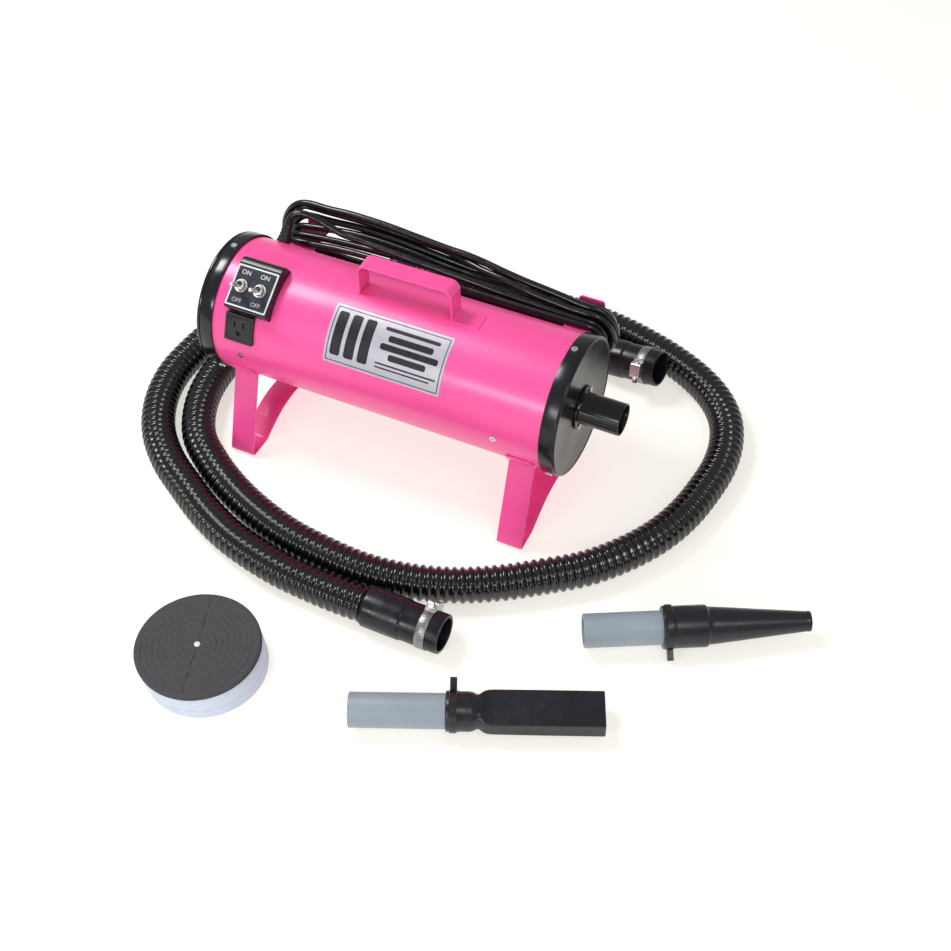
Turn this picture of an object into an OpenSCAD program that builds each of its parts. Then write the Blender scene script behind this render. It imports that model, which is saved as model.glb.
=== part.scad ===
// Twin-motor pet dryer with its mains lead on two hooks, a hose, two nozzles and a spare filter.
// Millimetres. +X runs along the body to the air outlet, +Y to the rear, +Z up. The floor is z = 0.
// The layout is drawn about the floor under the middle of the body, then moved by kit_shift.

/* [Body] */
// outside diameter of the steel body tube
body_d = 178; // [176:1:180]
// length of the painted body tube between the end caps
body_l = 466; // [460:2:480]
// height of the body's axis above the floor
axis_z = 178; // [174:1:184]
// wall of the body tube
body_wall = 1.2; // [1:0.2:2]
// outside diameter of the end caps
cap_d = 183.6; // [183.6:0.2:185]
// width of the intake end cap
intake_cap_w = 24; // [22:1:28]
// width of the outlet end cap
outlet_cap_w = 21; // [18:1:24]

/* [Outlet] */
// outside diameter of the outlet tube
outlet_d = 42.2; // [42:0.1:42.4]
// how far the outlet tube stands out of its cap
outlet_l = 55; // [50:1:60]

/* [Legs, handle and hooks] */
// width of the leg strip
leg_w = 35; // [30:1:38]
// distance of each leg from the middle of the body
leg_x = 202.5; // [198:0.5:206]
// how far the feet stand out to the front and to the rear
foot_y = 112.5; // [108:0.5:116]
// thickness of the leg, handle and hook strip
strip_t = 2.5; // [2:0.5:3]
// height of the handle's top above the body
handle_h = 45; // [42:1:50]
// width of the handle strap
handle_w = 25.4; // [24:0.2:26]

/* [Mains lead] */
// diameter of the mains lead
lead_d = 9.5; // [9:0.1:10]

/* [Hose] */
// outside diameter of the hose over its ribs
hose_d = 47; // [46:0.5:47]
// bore of the hose
hose_bore = 38.1; // [37:0.1:39]
// outside diameter of the hose cuffs
cuff_d = 53.6; // [53:0.2:54]
// length of the hose cuffs
cuff_l = 106; // [104:1:106]

/* [Nozzles and filter] */
// outside diameter of the nozzles' grey tubes
spigot_d = 42.2; // [42:0.1:42.4]
// diameter of the filter disc
filter_d = 154; // [150:1:156]
// height of the filter disc
filter_h = 36; // [32:1:38]

/* [Show] */
// which node to draw

/* [Hidden] */
$fn = 64;

// where the whole layout goes, so that the kit without its cords is centred on the origin
kit_shift = [-172, 183, 0];

// body
body_r = body_d / 2;
shell_end = body_l / 2;
cap_r = cap_d / 2;
fit = 0.05;
screw_r = 2;
screw_angles = [90, -40, 220];
intake_screw_x = -shell_end - 8;
outlet_screw_x = shell_end + 7;
ring_x = [-192, 172];
ring_screw_angles = [-4, 184];
under_cap = 13;
cap_wall = 2;
face_x = shell_end + outlet_cap_w;
intake_x = -shell_end - intake_cap_w;
intake_hole_r = 62;
outlet_r = outlet_d / 2;
flange_r = 29;
flange_t = 2;
flange_screws_r = 25.2;

// switch box, on a tilted flat of the body
box_angle = 56;
box_x = -180;
plate_n = 103;
plate_w = 60;
plate_h = 56;
switch_pitch = 27.5;
switch_x = [box_x - 1.5 - switch_pitch / 2, box_x - 1.5 + switch_pitch / 2];
pivot_n = 100;
toggle_tilt = 11;
bushing_r = 5.9;
outlet_angle = 23;
socket_x = -191;
socket_n = 92.6;

// motors
can_r = 72;
can_l = 56;
shaft_r = 4;
bearing_r = 11;

// hooks and the wound mains lead
hook_w = 36;
hook_z = 219;
hook_end_y = 137.5;
lip_z = 231;
hook_x = [-196, 208];
gland_x = -208;
gland_angle = 135;
gland_l = 24;
hank_x = [-205, 213];
hank_y = [93, 107, 121, 135.5];
hank_z = [205, 212, 220];
hank_in_r = 22;
hank_out_r = 34;

// hose: centre line from the front cuff to the rear cuff, along the floor
cuff_z = cuff_d / 2;
hose_z = hose_d / 2 + 0.4;
cuff_front_at = [92, -289, cuff_z];
cuff_rear_at = [174, 250.5, 28];
cuff_rear_yaw = -7.3;
cuff_rear_pitch = 9.8;
hose_route = [
    [92, -289, cuff_z], [60, -289, 25.5], [15, -287, hose_z], [-35, -283, hose_z],
    [-84, -274, hose_z], [-130, -261, hose_z], [-178, -240, hose_z], [-225, -213, hose_z],
    [-274, -182, hose_z], [-318, -140, hose_z], [-347, -90, hose_z], [-361, -37, hose_z],
    [-360, 18, hose_z], [-352, 70, hose_z], [-336, 123, hose_z], [-310, 175, hose_z],
    [-272, 223, hose_z], [-222, 263, hose_z], [-162, 296, hose_z], [-92, 312, hose_z],
    [-18, 319, hose_z], [55, 321, hose_z], [120, 319, hose_z], [178, 313, hose_z],
    [230, 301, hose_z], [280, 284, hose_z], [325, 262, hose_z], [362, 234, hose_z],
    [389, 199, hose_z], [404, 158, hose_z], [409, 114, hose_z], [405, 66, hose_z],
    [396, 17, hose_z], [378, -32, hose_z], [350, -78, hose_z], [314, -120, hose_z],
    [271, -154, hose_z], [224, -187, hose_z], [173, -214, hose_z], [117, -232, hose_z],
    [58, -240, hose_z], [-1, -237, hose_z], [-58, -229, hose_z], [-113, -213, hose_z],
    [-165, -191, hose_z], [-215, -162, hose_z], [-260, -126, hose_z], [-289, -78, hose_z],
    [-303, -27, hose_z], [-303, 29, hose_z], [-286, 82, hose_z], [-260, 131, hose_z],
    [-222, 173, hose_z], [-173, 207, hose_z], [-116, 232, hose_z], [-54, 248, hose_z],
    [10, 257, hose_z], [72, 259, hose_z], [126, 256.5, 24.2], [174, 250.5, 28]
];
clamp_at = 77;
clamp_w = 13;
clamp_r = 25.6;
worm_r = 3;

// nozzles lie on the floor on their boots and clips; local +X runs to the tip
slot_at = [144.2, -433, 28];
slot_yaw = 24.3;
slot_tilt = -1;
slot_spigot_l = 114;
slot_l = 300;
cone_at = [349.7, -214.5, 28.5];
cone_yaw = 28;
cone_tilt = -0.4;
cone_spigot_l = 96;
cone_l = 278;
spigot_wall = 3.5;
socket_clear = 0.05;

// filter
filter_at = [-61.5, -438];
foam_t = 6;

// colours
pink = [1, 0.3, 0.6];
black = [0.05, 0.05, 0.06];
steel = [0.75, 0.76, 0.78];
grey = [0.58, 0.62, 0.67];

// ---------- helpers ----------

// a frame on the body: local +Z points straight out at an elevation, 0 at the front and 90 on top
module on_body(angle, x = 0) translate([x, 0, axis_z]) rotate([90 - angle, 0, 0]) children();

// local +Z laid along the body's axis
module along_x(x = 0) translate([x, 0, axis_z]) rotate([0, 90, 0]) children();

// a YZ outline drawn out along X
module across(x, w) translate([x - w / 2, 0, 0]) rotate([90, 0, 90]) linear_extrude(w) children();

// a band round the body between two elevations
module body_band(r0, r1, from, to, x, w)
    along_x(x - w / 2) rotate_extrude(angle = to - from, start = 270 - to) translate([r0, 0])
    square([r1 - r0, w]);

function unit(v) = v / norm(v);

// corner offset of a flat path at point i
function miter(path, i) =
    let (last = len(path) - 1,
         before = unit(path[max(i, 1)] - path[max(i, 1) - 1]),
         after = unit(path[min(i, last - 1) + 1] - path[min(i, last - 1)]),
         mean = unit(before + after))
    [-mean.y, mean.x] / (mean * before);

// outline of a strip of thickness t whose middle follows a flat path
function strip(path, t) = concat(
    [for (i = [0:len(path) - 1]) path[i] + miter(path, i) * t / 2],
    [for (i = [len(path) - 1:-1:0]) path[i] - miter(path, i) * t / 2]);

function arc(centre, r, from, to, n = 5) =
    [for (i = [0:n]) centre + r * [cos(from + (to - from) * i / n), sin(from + (to - from) * i / n)]];

function mirrored(path) = concat(path, [for (i = [len(path) - 1:-1:0]) [-path[i].x, path[i].y]]);

// ring of points round a route at point i
function route_ring(route, i, r, sides, side_ref) =
    let (last = len(route) - 1,
         t = unit(route[min(i + 1, last)] - route[max(i - 1, 0)]),
         side = unit(cross(t, side_ref)),
         lift = cross(side, t))
    [for (k = [0:sides - 1]) route[i] + r * (cos(360 * k / sides) * lift + sin(360 * k / sides) * side)];

function ring_faces(a, b, sides) =
    [for (k = [0:sides - 1]) [a + k, b + k, b + (k + 1) % sides, a + (k + 1) % sides]];

// a solid cord along a route
module cord(route, r, sides = 8, side_ref = [0, 0, 1]) {
    last = len(route) - 1;
    points = [for (i = [0:last]) each route_ring(route, i, r, sides, side_ref)];
    skin = [for (i = [0:last - 1]) each ring_faces(i * sides, (i + 1) * sides, sides)];
    start = [for (k = [0:sides - 1]) k];
    end = [for (k = [sides - 1:-1:0]) last * sides + k];
    polyhedron(points, concat(skin, [start, end]));
}

// a hollow hose along a route
module hollow_cord(route, r, bore_r, sides = 12) {
    last = len(route) - 1;
    count = (last + 1) * sides;
    outer = [for (i = [0:last]) each route_ring(route, i, r, sides, [0, 0, 1])];
    inner = [for (i = [0:last]) each route_ring(route, i, bore_r, sides, [0, 0, 1])];
    skin = [for (i = [0:last - 1]) each ring_faces(i * sides, (i + 1) * sides, sides)];
    lining = [for (i = [0:last - 1]) each ring_faces(count + (i + 1) * sides, count + i * sides, sides)];
    start = ring_faces(count, 0, sides);
    end = ring_faces(last * sides, count + last * sides, sides);
    polyhedron(concat(outer, inner), concat(skin, lining, start, end));
}

module tube(r_out, r_in, l) difference() {
    cylinder(r = r_out, h = l);
    translate([0, 0, -1]) cylinder(r = r_in, h = l + 2);
}

// pan-head screw with a cross recess, its head's seat at z = 0
module screw(head_r, head_h, shank_r, shank_l) {
    difference() {
        cylinder(r = head_r, h = head_h);
        for (turn = [45, 135]) rotate([0, 0, turn])
            translate([-head_r * 0.6, -0.5, head_h - 1.2]) cube([head_r * 1.2, 1, 2]);
    }
    translate([0, 0, -shank_l]) cylinder(r = shank_r, h = shank_l);
}

// ---------- body ----------

module body_shell() color(pink) difference() {
    along_x(-shell_end - under_cap) tube(body_r, body_r - body_wall, body_l + 2 * under_cap);
    for (angle = screw_angles, x = [intake_screw_x, outlet_screw_x])
        on_body(angle, x) cylinder(r = screw_r + fit, h = 200);
    for (angle = ring_screw_angles, x = ring_x)
        on_body(angle, x) cylinder(r = screw_r + fit, h = 200);
    on_body(box_angle, box_x) translate([-26, -19, 60]) cube([52, 38, 60]);
    on_body(outlet_angle, socket_x) translate([-18.5, -16.5, 60]) cube([37, 33, 60]);
    on_body(gland_angle, gland_x) cylinder(r = 6 + fit, h = 200);
}

// outline of an end cap: x is the radius, y runs outward along the body from the painted tube
module cap_outline(w, hole_r, step) polygon([
    [hole_r, w - cap_wall], [hole_r, w], [cap_r - step - 3, w], [cap_r - step - 1, w - 0.8],
    [cap_r - step, w - 2.5], [cap_r - step, w - 6], [cap_r, w - 6.8], [cap_r, 0],
    [body_r + fit, 0], [body_r + fit, w - cap_wall]
]);

module intake_cap() color(black) difference() {
    mirror([1, 0, 0]) along_x(shell_end) rotate_extrude() cap_outline(intake_cap_w, intake_hole_r, 1.6);
    for (angle = screw_angles) on_body(angle, intake_screw_x) cylinder(r = screw_r + fit, h = 200);
}

module intake_grille() color(black) along_x(intake_x + cap_wall + fit) difference() {
    cylinder(r = intake_hole_r + 12, h = 1.5);
    translate([0, 0, -1]) for (ring = [0:4], k = [0:max(0, ring * 6 - 1)])
        rotate([0, 0, 60 * k / max(1, ring)]) translate([ring * 13, 0, 0]) cylinder(r = 4.6, h = 4);
}

module outlet_cap() color(black) difference() {
    along_x(shell_end) rotate_extrude() cap_outline(outlet_cap_w, outlet_r + fit, 0.01);
    for (angle = screw_angles) on_body(angle, outlet_screw_x) cylinder(r = screw_r + fit, h = 200);
    for (turn = [45:90:315]) along_x(face_x - 10) rotate([0, 0, turn])
        translate([flange_screws_r, 0, 0]) cylinder(r = 1.5 + fit, h = 20);
}

module outlet_tube() color(black) difference() {
    union() {
        along_x(face_x - 6) cylinder(r = outlet_r, h = outlet_l + 6);
        along_x(face_x) cylinder(r = flange_r, h = flange_t);
    }
    along_x(face_x - 7) cylinder(r = outlet_r - 2, h = outlet_l + 8);
    for (turn = [45:90:315]) along_x(face_x - 1) rotate([0, 0, turn])
        translate([flange_screws_r, 0, 0]) cylinder(r = 1.5 + fit, h = 4);
}

module outlet_screws() color(steel) for (turn = [45:90:315])
    along_x(face_x + flange_t) rotate([0, 0, turn]) translate([flange_screws_r, 0, 0])
    screw(3, 1.8, 1.5, 7);

module cap_screws() color(steel) for (angle = screw_angles, x = [intake_screw_x, outlet_screw_x])
    on_body(angle, x) translate([0, 0, cap_r]) screw(4.2, 2.2, screw_r, 9);

module body_screws() color(steel) for (angle = ring_screw_angles, x = ring_x)
    on_body(angle, x) translate([0, 0, body_r]) screw(4.2, 2.2, screw_r, 9);

// ---------- legs, handle, hooks ----------

// from the shell's lower side down to the foot, a flat of foot, then up to the arch under the body
function leg_path() = let (low = strip_t / 2)
    mirrored([[-68, 123], [-foot_y, low], [-75, low], [-47, 13.5], [-26, 20], [-8, 22]]);

module leg(x) color(pink) difference() {
    union() {
        difference() {
            across(x, leg_w) polygon(strip(leg_path(), strip_t));
            along_x(-300) cylinder(r = body_r + 1, h = 600);
        }
        for (from = [-40, 205]) body_band(body_r + fit, body_r + fit + strip_t, from, from + 15, x, leg_w);
    }
    for (angle = [-30, 210]) on_body(angle, x + leg_w / 2 - 5) translate([-1.5, -3.5, 80])
        cube([3, 7, 20]);
}

module leg_left() leg(-leg_x);
module leg_right() leg(leg_x);

// the handle's strap in the XZ plane, from one foot tab over the top to the other
handle_x = [-48, 81];
bend_r = 10;
function handle_path() = let (top = axis_z + body_r + handle_h, foot = axis_z + body_r + strip_t / 2)
    concat(
        [[handle_x[0] - bend_r - 26, foot]],
        arc([handle_x[0] - bend_r, foot + bend_r], bend_r, -90, 0),
        arc([handle_x[0] + bend_r, top - bend_r], bend_r, 180, 90),
        arc([handle_x[1] - bend_r, top - bend_r], bend_r, 90, 0),
        arc([handle_x[1] + bend_r, foot + bend_r], bend_r, 180, 270),
        [[handle_x[1] + bend_r + 26, foot]]);

module handle() color(pink) difference() {
    union() {
        translate([0, handle_w / 2, 0]) rotate([90, 0, 0]) linear_extrude(handle_w)
            polygon(strip(handle_path(), strip_t));
        for (x = [handle_x[0] - bend_r - 26, handle_x[1] + bend_r])
            translate([x, -handle_w / 2, axis_z + body_r - 2]) cube([26, handle_w, 3]);
    }
    along_x(-300) cylinder(r = body_r + fit, h = 600);
}

module hook(x) color(pink) union() {
    difference() {
        across(x, hook_w) polygon(strip([
            [70, hook_z], [hook_end_y - 4, hook_z], [hook_end_y, hook_z + 4], [hook_end_y, lip_z]
        ], strip_t));
        along_x(-300) cylinder(r = body_r + fit, h = 600);
    }
    body_band(body_r + fit, body_r + fit + strip_t, 151.5, 172, x, hook_w);
}

module hook_left() hook(hook_x[0]);
module hook_right() hook(hook_x[1]);

// ---------- switches, socket, label ----------

// the box's side outline: y runs up the slope and z out of the body
module box_outline() polygon([
    [-31, 60], [-31, plate_n - 4], [-29, plate_n - 1], [31, plate_n - 1], [36, plate_n - 2.6],
    [39.5, plate_n - 6], [41, plate_n - 11], [41, 60]
]);

module switch_box() color(black) difference() {
    on_body(box_angle, box_x - 32) rotate([90, 0, 90]) linear_extrude(64) box_outline();
    along_x(-300) cylinder(r = body_r + fit, h = 600);
    on_body(box_angle, box_x) translate([-29, -28, 50]) cube([58, 60, plate_n - 3 - 50]);
    for (x = switch_x) on_body(box_angle, x) cylinder(r = bushing_r + fit, h = 200);
}

module switch_plate() color(steel) on_body(box_angle, box_x) difference() {
    translate([-plate_w / 2, -plate_h / 2, plate_n - 1]) cube([plate_w, plate_h, 1]);
    for (x = switch_x) translate([x - box_x, 0, 50]) cylinder(r = bushing_r + fit, h = 100);
}

// switch body and bushing, hollow for the lever
module switch_bodies() color(black) for (x = switch_x) on_body(box_angle, x) difference() {
    union() {
        translate([-6.5, -14, plate_n - 24]) cube([13, 28, 20.9]);
        translate([0, 0, plate_n - 5]) cylinder(r = bushing_r, h = 11);
    }
    translate([0, 0, pivot_n - 7]) cylinder(r = 4.6, h = 20);
}

module switch_nuts() color(steel) for (x = switch_x) on_body(box_angle, x)
    translate([0, 0, plate_n]) tube(9, bushing_r + fit, 3);

module toggle(x) color(steel) on_body(box_angle, x) translate([0, 0, pivot_n])
    rotate([toggle_tilt, 0, 0]) {
        sphere(r = 3.6);
        rotate([0, 90, 0]) cylinder(r = 1.5, h = 8.2, center = true);
        cylinder(r1 = 1.8, r2 = 2.9, h = 29);
        translate([0, 0, 29]) sphere(r = 2.9);
    }

module toggle_left() toggle(switch_x[0]);
module toggle_right() toggle(switch_x[1]);

module receptacle() color(black) difference() {
    on_body(outlet_angle, socket_x) union() {
        difference() {
            translate([-20.75, -19.25, 80]) cube([41.5, 38.5, socket_n - 80]);
            rotate([0, 90, 0]) translate([0, 0, -60]) cylinder(r = body_r + fit, h = 120);
        }
        translate([-18, -16, 75]) cube([36, 32, socket_n - 76]);
    }
    on_body(outlet_angle, socket_x) translate([0, 5, socket_n - 14]) {
        for (x = [-6.35, 6.35]) translate([x - 1, -4, 0]) cube([2, 8, 20]);
        translate([0, -11.9, 0]) cylinder(r = 2.6, h = 20);
    }
}

module label() color([0.74, 0.72, 0.78])
    body_band(body_r + fit, body_r + fit + 0.5, 19, 68.5, 14, 164);

// ---------- motors ----------

module mount_rings() color(steel) for (side = [0, 1]) difference() {
    mirror([side, 0, 0]) along_x((side == 0 ? ring_x[0] : -ring_x[1]) - 8) {
        tube(body_r - body_wall - fit, body_r - body_wall - 8, 16);
        tube(body_r - body_wall - fit, 40, 3);
    }
    for (angle = ring_screw_angles) on_body(angle, ring_x[side]) cylinder(r = screw_r + fit, h = 200);
    body_band(can_r + 1.5, body_r, 3, 88, ring_x[0], 30);
}

// places a motor: drawn outward from its mounting ring towards the middle of the body
module at_motor(side) mirror([side, 0, 0]) along_x(side == 0 ? ring_x[0] - 5 : -ring_x[1] - 5) children();

module mount_gaskets() color(black) for (side = [0, 1]) at_motor(side) tube(can_r - 2, 44, 4);

// fan housing: a can with an eye at the ring and air holes round a bearing seat at the back
module motor_cans() color(steel) for (side = [0, 1]) at_motor(side) translate([0, 0, 4]) difference() {
    cylinder(r = can_r, h = can_l);
    translate([0, 0, 1.5]) cylinder(r = can_r - 1.5, h = can_l - 8);
    translate([0, 0, -1]) cylinder(r = 24, h = 10);
    translate([0, 0, can_l - 10]) cylinder(r = bearing_r + fit, h = 20);
    for (turn = [0:30:330]) rotate([0, 0, turn]) translate([60, 0, can_l - 10]) cylinder(r = 6, h = 20);
}

// wound stator with a bridge over the back bearing
module stators() color([0.35, 0.35, 0.37]) for (side = [0, 1]) at_motor(side)
    translate([0, 0, can_l + 4]) {
        translate([0, 0, 4]) difference() {
            cylinder(r = 46, h = 50);
            translate([0, 0, -1]) cylinder(r = 27.5, h = 52);
        }
        for (turn = [0:90:270]) rotate([0, 0, turn]) translate([34, -5, 0]) cube([10, 10, 4]);
        for (turn = [0, 180]) rotate([0, 0, turn]) translate([34, -9, 54]) cube([10, 18, 28]);
        difference() {
            translate([-44, -9, 74]) cube([88, 18, 8]);
            translate([0, 0, 73]) cylinder(r = bearing_r + fit, h = 10);
        }
    }

module bearings() color(steel) for (side = [0, 1]) at_motor(side)
    for (z = [can_l - 3, can_l + 78]) translate([0, 0, z]) tube(bearing_r, shaft_r + 0.04, 7);

// shaft, fan wheel, armature and commutator
module rotor(side) color([0.7, 0.55, 0.35]) at_motor(side) {
    translate([0, 0, 14]) cylinder(r = shaft_r, h = can_l + 74);
    translate([0, 0, 14]) cylinder(r = 12, h = 28);
    translate([0, 0, 40]) cylinder(r = 66, h = 1.5);
    translate([0, 0, 14]) tube(66, 26, 1.5);
    for (turn = [0:45:315]) rotate([0, 0, turn]) translate([11, -0.75, 15]) cube([54, 1.5, 26]);
    translate([0, 0, can_l + 8]) cylinder(r = 26, h = 50);
    translate([0, 0, can_l + 61]) cylinder(r = 13, h = 12);
}

module rotor_intake() rotor(0);
module rotor_outlet() rotor(1);

// ---------- mains lead ----------

// point on the body's middle plane of the gland, at a radius from the axis
function gland_at(r) = [gland_x, -r * cos(gland_angle), axis_z + r * sin(gland_angle)];

module lead_gland() color(black) on_body(gland_angle, gland_x) difference() {
    union() {
        translate([0, 0, body_r - 6]) cylinder(r = 6, h = 10);
        translate([0, 0, body_r + 0.6]) cylinder(r1 = 9.5, r2 = 9, h = 3);
        translate([0, 0, body_r + 3]) cylinder(r1 = 8.2, r2 = 6.6, h = gland_l - 3);
        for (rib = [0:3]) translate([0, 0, body_r + 6 + rib * 4.5]) cylinder(r = 8.4 - 0.4 * rib, h = 2.4);
    }
    translate([0, 0, body_r - 10]) cylinder(r = 3, h = 8);
}

start_route = [
    gland_at(body_r + gland_l), gland_at(body_r + gland_l + 7), [-206, 89, 267], [-200, 93, 270],
    [-190, 96, 270], [-178, 98, 266], [-165, 99, 259], [-151, 99, 251], [-137, 99, 243.7]
];
module lead_start() color(black) cord(start_route, lead_d / 2, 10, [-1, 2, -2]);

// the wound lead: three flat layers, each a closed track round both hooks
module track(r) {
    for (x = hank_x) translate([x, 0]) circle(r);
    translate([hank_x[0], -r]) square([hank_x[1] - hank_x[0], 2 * r]);
}

module lead_hank() color(black) for (layer = [0:2])
    translate([0, hank_y[layer + 1], hank_z[layer]]) rotate([90, 0, 0])
    linear_extrude(hank_y[layer + 1] - hank_y[layer]) difference() {
        track(hank_out_r);
        track(hank_in_r);
    }

tail_route = [
    [-30, 128, 193], [-42, 128, 186], [-54, 127, 178], [-63, 126, 168], [-68, 124, 156],
    [-70, 123, 144], [-70, 123, 132]
];
module lead_tail() color(black) cord(tail_route, lead_d / 2, 10, [0, 1, 0]);

plug_at = tail_route[len(tail_route) - 1];
module plug() color(black) translate(plug_at) {
    translate([0, 0, -16]) cylinder(r1 = 11, r2 = 6.5, h = 16);
    translate([-13, -11, -34]) cube([26, 22, 18]);
    for (x = [-6.35, 6.35]) translate([x - 0.75, -3.2, -52]) cube([1.5, 6.4, 19]);
    translate([0, 8, -55]) cylinder(r = 2.4, h = 22);
}

// ---------- hose ----------

module hose() color(black) hollow_cord(hose_route, hose_d / 2, hose_bore / 2);

// a cuff along local +X from the hose to its mouth, with a step half way
module cuff() rotate([0, 90, 0]) difference() {
    union() {
        cylinder(r = cuff_d / 2, h = cuff_l * 0.5);
        cylinder(r = clamp_r, h = cuff_l);
    }
    translate([0, 0, cuff_l - 50]) cylinder(r = outlet_r + 0.1, h = 60);
    translate([0, 0, -1]) cylinder(r = hose_bore / 2, h = cuff_l);
}

module at_front_cuff() translate(cuff_front_at) children();
module at_rear_cuff() translate(cuff_rear_at) rotate([0, -cuff_rear_pitch, cuff_rear_yaw]) children();

// worm-drive clamp round a cuff: its housing sits at local -Z before the turn
module clamp_band() translate([clamp_at, 0, 0]) difference() {
    union() {
        rotate([0, 90, 0]) tube(clamp_r + 1.2, clamp_r + fit, clamp_w);
        translate([-1, -12, clamp_r + 0.6]) cube([clamp_w + 2, 24, 9.4]);
    }
    rotate([0, 90, 0]) translate([0, 0, -2]) cylinder(r = clamp_r + fit, h = clamp_w + 4);
    translate([clamp_w / 2, 0, clamp_r + 6]) rotate([90, 0, 0]) cylinder(r = worm_r + fit, h = 60, center = true);
}

module worm() translate([clamp_at + clamp_w / 2, 0, clamp_r + 6]) rotate([90, 0, 0]) {
    cylinder(r = worm_r, h = 26, center = true);
    difference() {
        translate([0, 0, 13]) cylinder(r = 4.2, h = 5, $fn = 6);
        translate([-5, -0.6, 16.4]) cube([10, 1.2, 3]);
    }
}

front_turn = -48;
rear_turn = 66;
module cuff_front() color(black) at_front_cuff() cuff();
module cuff_rear() color(black) at_rear_cuff() cuff();
module clamp_front() color(steel) at_front_cuff() rotate([front_turn, 0, 0]) clamp_band();
module clamp_rear() color(steel) at_rear_cuff() rotate([rear_turn, 0, 0]) clamp_band();
module worm_front() color(steel) at_front_cuff() rotate([front_turn, 0, 0]) worm();
module worm_rear() color(steel) at_rear_cuff() rotate([rear_turn, 0, 0]) worm();

// ---------- nozzles ----------

module at_slot() translate(slot_at) rotate([0, -slot_tilt, slot_yaw]) children();
module at_cone() translate(cone_at) rotate([0, -cone_tilt, cone_yaw]) children();

// grey tube: it runs on inside the black boot
module spigot(l) rotate([0, 90, 0]) tube(spigot_d / 2, spigot_d / 2 - spigot_wall, l + 30);

module slot_tube() color(grey) at_slot() spigot(slot_spigot_l);
module cone_tube() color(grey) at_cone() spigot(cone_spigot_l);

boot_r = 24;
slot_w = 50;
slot_h = 22;
slot_wall = 2;
// round boot on the tube, then a flat tip
module slot_tip() color(black) at_slot() difference() {
    union() {
        translate([slot_spigot_l, 0, 0]) rotate([0, 90, 0]) cylinder(r = boot_r, h = 36);
        translate([slot_spigot_l + 36, 0, 0]) rotate([0, 90, 0]) cylinder(r1 = boot_r, r2 = boot_r - 3, h = 6);
        translate([slot_spigot_l + 38, -slot_w / 2, -slot_h / 2])
            cube([slot_l - slot_spigot_l - 38, slot_w, slot_h]);
    }
    translate([slot_spigot_l - 1, 0, 0]) rotate([0, 90, 0])
        cylinder(r = spigot_d / 2 + socket_clear, h = 31 + socket_clear);
    translate([slot_spigot_l - 1, 0, 0]) rotate([0, 90, 0]) cylinder(r = spigot_d / 2 - spigot_wall, h = 40);
    translate([slot_spigot_l + 30, -slot_w / 2 + slot_wall, -slot_h / 2 + slot_wall])
        cube([slot_l, slot_w - 2 * slot_wall, slot_h - 2 * slot_wall]);
}

// ratchet clip round the slot nozzle's boot, its tab at the rear
module slot_clip() color(black) at_slot() {
    translate([slot_spigot_l + 4, 0, 0]) rotate([0, 90, 0]) tube(boot_r + 1.6, boot_r + fit, 9);
    rotate([-48, 0, 0]) translate([slot_spigot_l + 4.5, -2.2, boot_r + 1]) cube([8, 4.4, 15]);
}

cone_boot_r = 26.6;
cone_root_r = 23.2;
cone_tip_r = 12.6;
cone_boot_l = 56;
// wide boot on the tube, then a long cone
module cone_tip() color(black) at_cone() translate([cone_spigot_l, 0, 0]) rotate([0, 90, 0]) difference() {
    rotate_extrude() polygon([
        [0, 0], [cone_boot_r - 1.2, 0], [cone_boot_r, 1.2], [cone_boot_r, cone_boot_l - 3], [cone_boot_r - 1.2, cone_boot_l - 0.8],
        [cone_root_r, cone_boot_l], [cone_tip_r + 0.4, cone_l - cone_spigot_l - 4],
        [cone_tip_r, cone_l - cone_spigot_l], [0, cone_l - cone_spigot_l]
    ]);
    translate([0, 0, -1]) cylinder(r = spigot_d / 2 + socket_clear, h = 31 + socket_clear);
    translate([0, 0, 30]) cylinder(r = spigot_d / 2 - spigot_wall, h = cone_boot_l - 29.9);
    translate([0, 0, cone_boot_l]) cylinder(
        r1 = spigot_d / 2 - spigot_wall, r2 = cone_tip_r - 2.2, h = cone_l - cone_spigot_l - cone_boot_l);
    translate([0, 0, cone_boot_l]) cylinder(r = cone_tip_r - 2.2, h = cone_l);
}

// ratchet clip round the cone nozzle's boot, its folded ends at the front
module cone_clip() color(black) at_cone() {
    translate([cone_spigot_l + 4, 0, 0]) rotate([0, 90, 0]) tube(cone_boot_r + 1, cone_boot_r + fit, 8);
    rotate([123, 0, 0]) difference() {
        translate([cone_spigot_l + 3, -4, cone_boot_r + 0.6]) cube([10, 8, 13]);
        translate([cone_spigot_l + 2, -1.8, cone_boot_r + 3]) cube([12, 3.6, 8]);
    }
}

// ---------- filter ----------

module filter_case() color([0.82, 0.86, 0.94]) translate([filter_at.x, filter_at.y, 0])
    cylinder(r1 = filter_d / 2 - 1.5, r2 = filter_d / 2 - 0.3, h = filter_h - foam_t);

module filter_foam() color([0.33, 0.33, 0.35]) translate([filter_at.x, filter_at.y, filter_h - foam_t])
    tube(filter_d / 2, 4, foam_t);

module filter_button() color([0.9, 0.9, 0.9]) translate([filter_at.x, filter_at.y, filter_h - foam_t])
    cylinder(r = 3.8, h = foam_t + 0.8);

// ---------- drawing ----------

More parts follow.
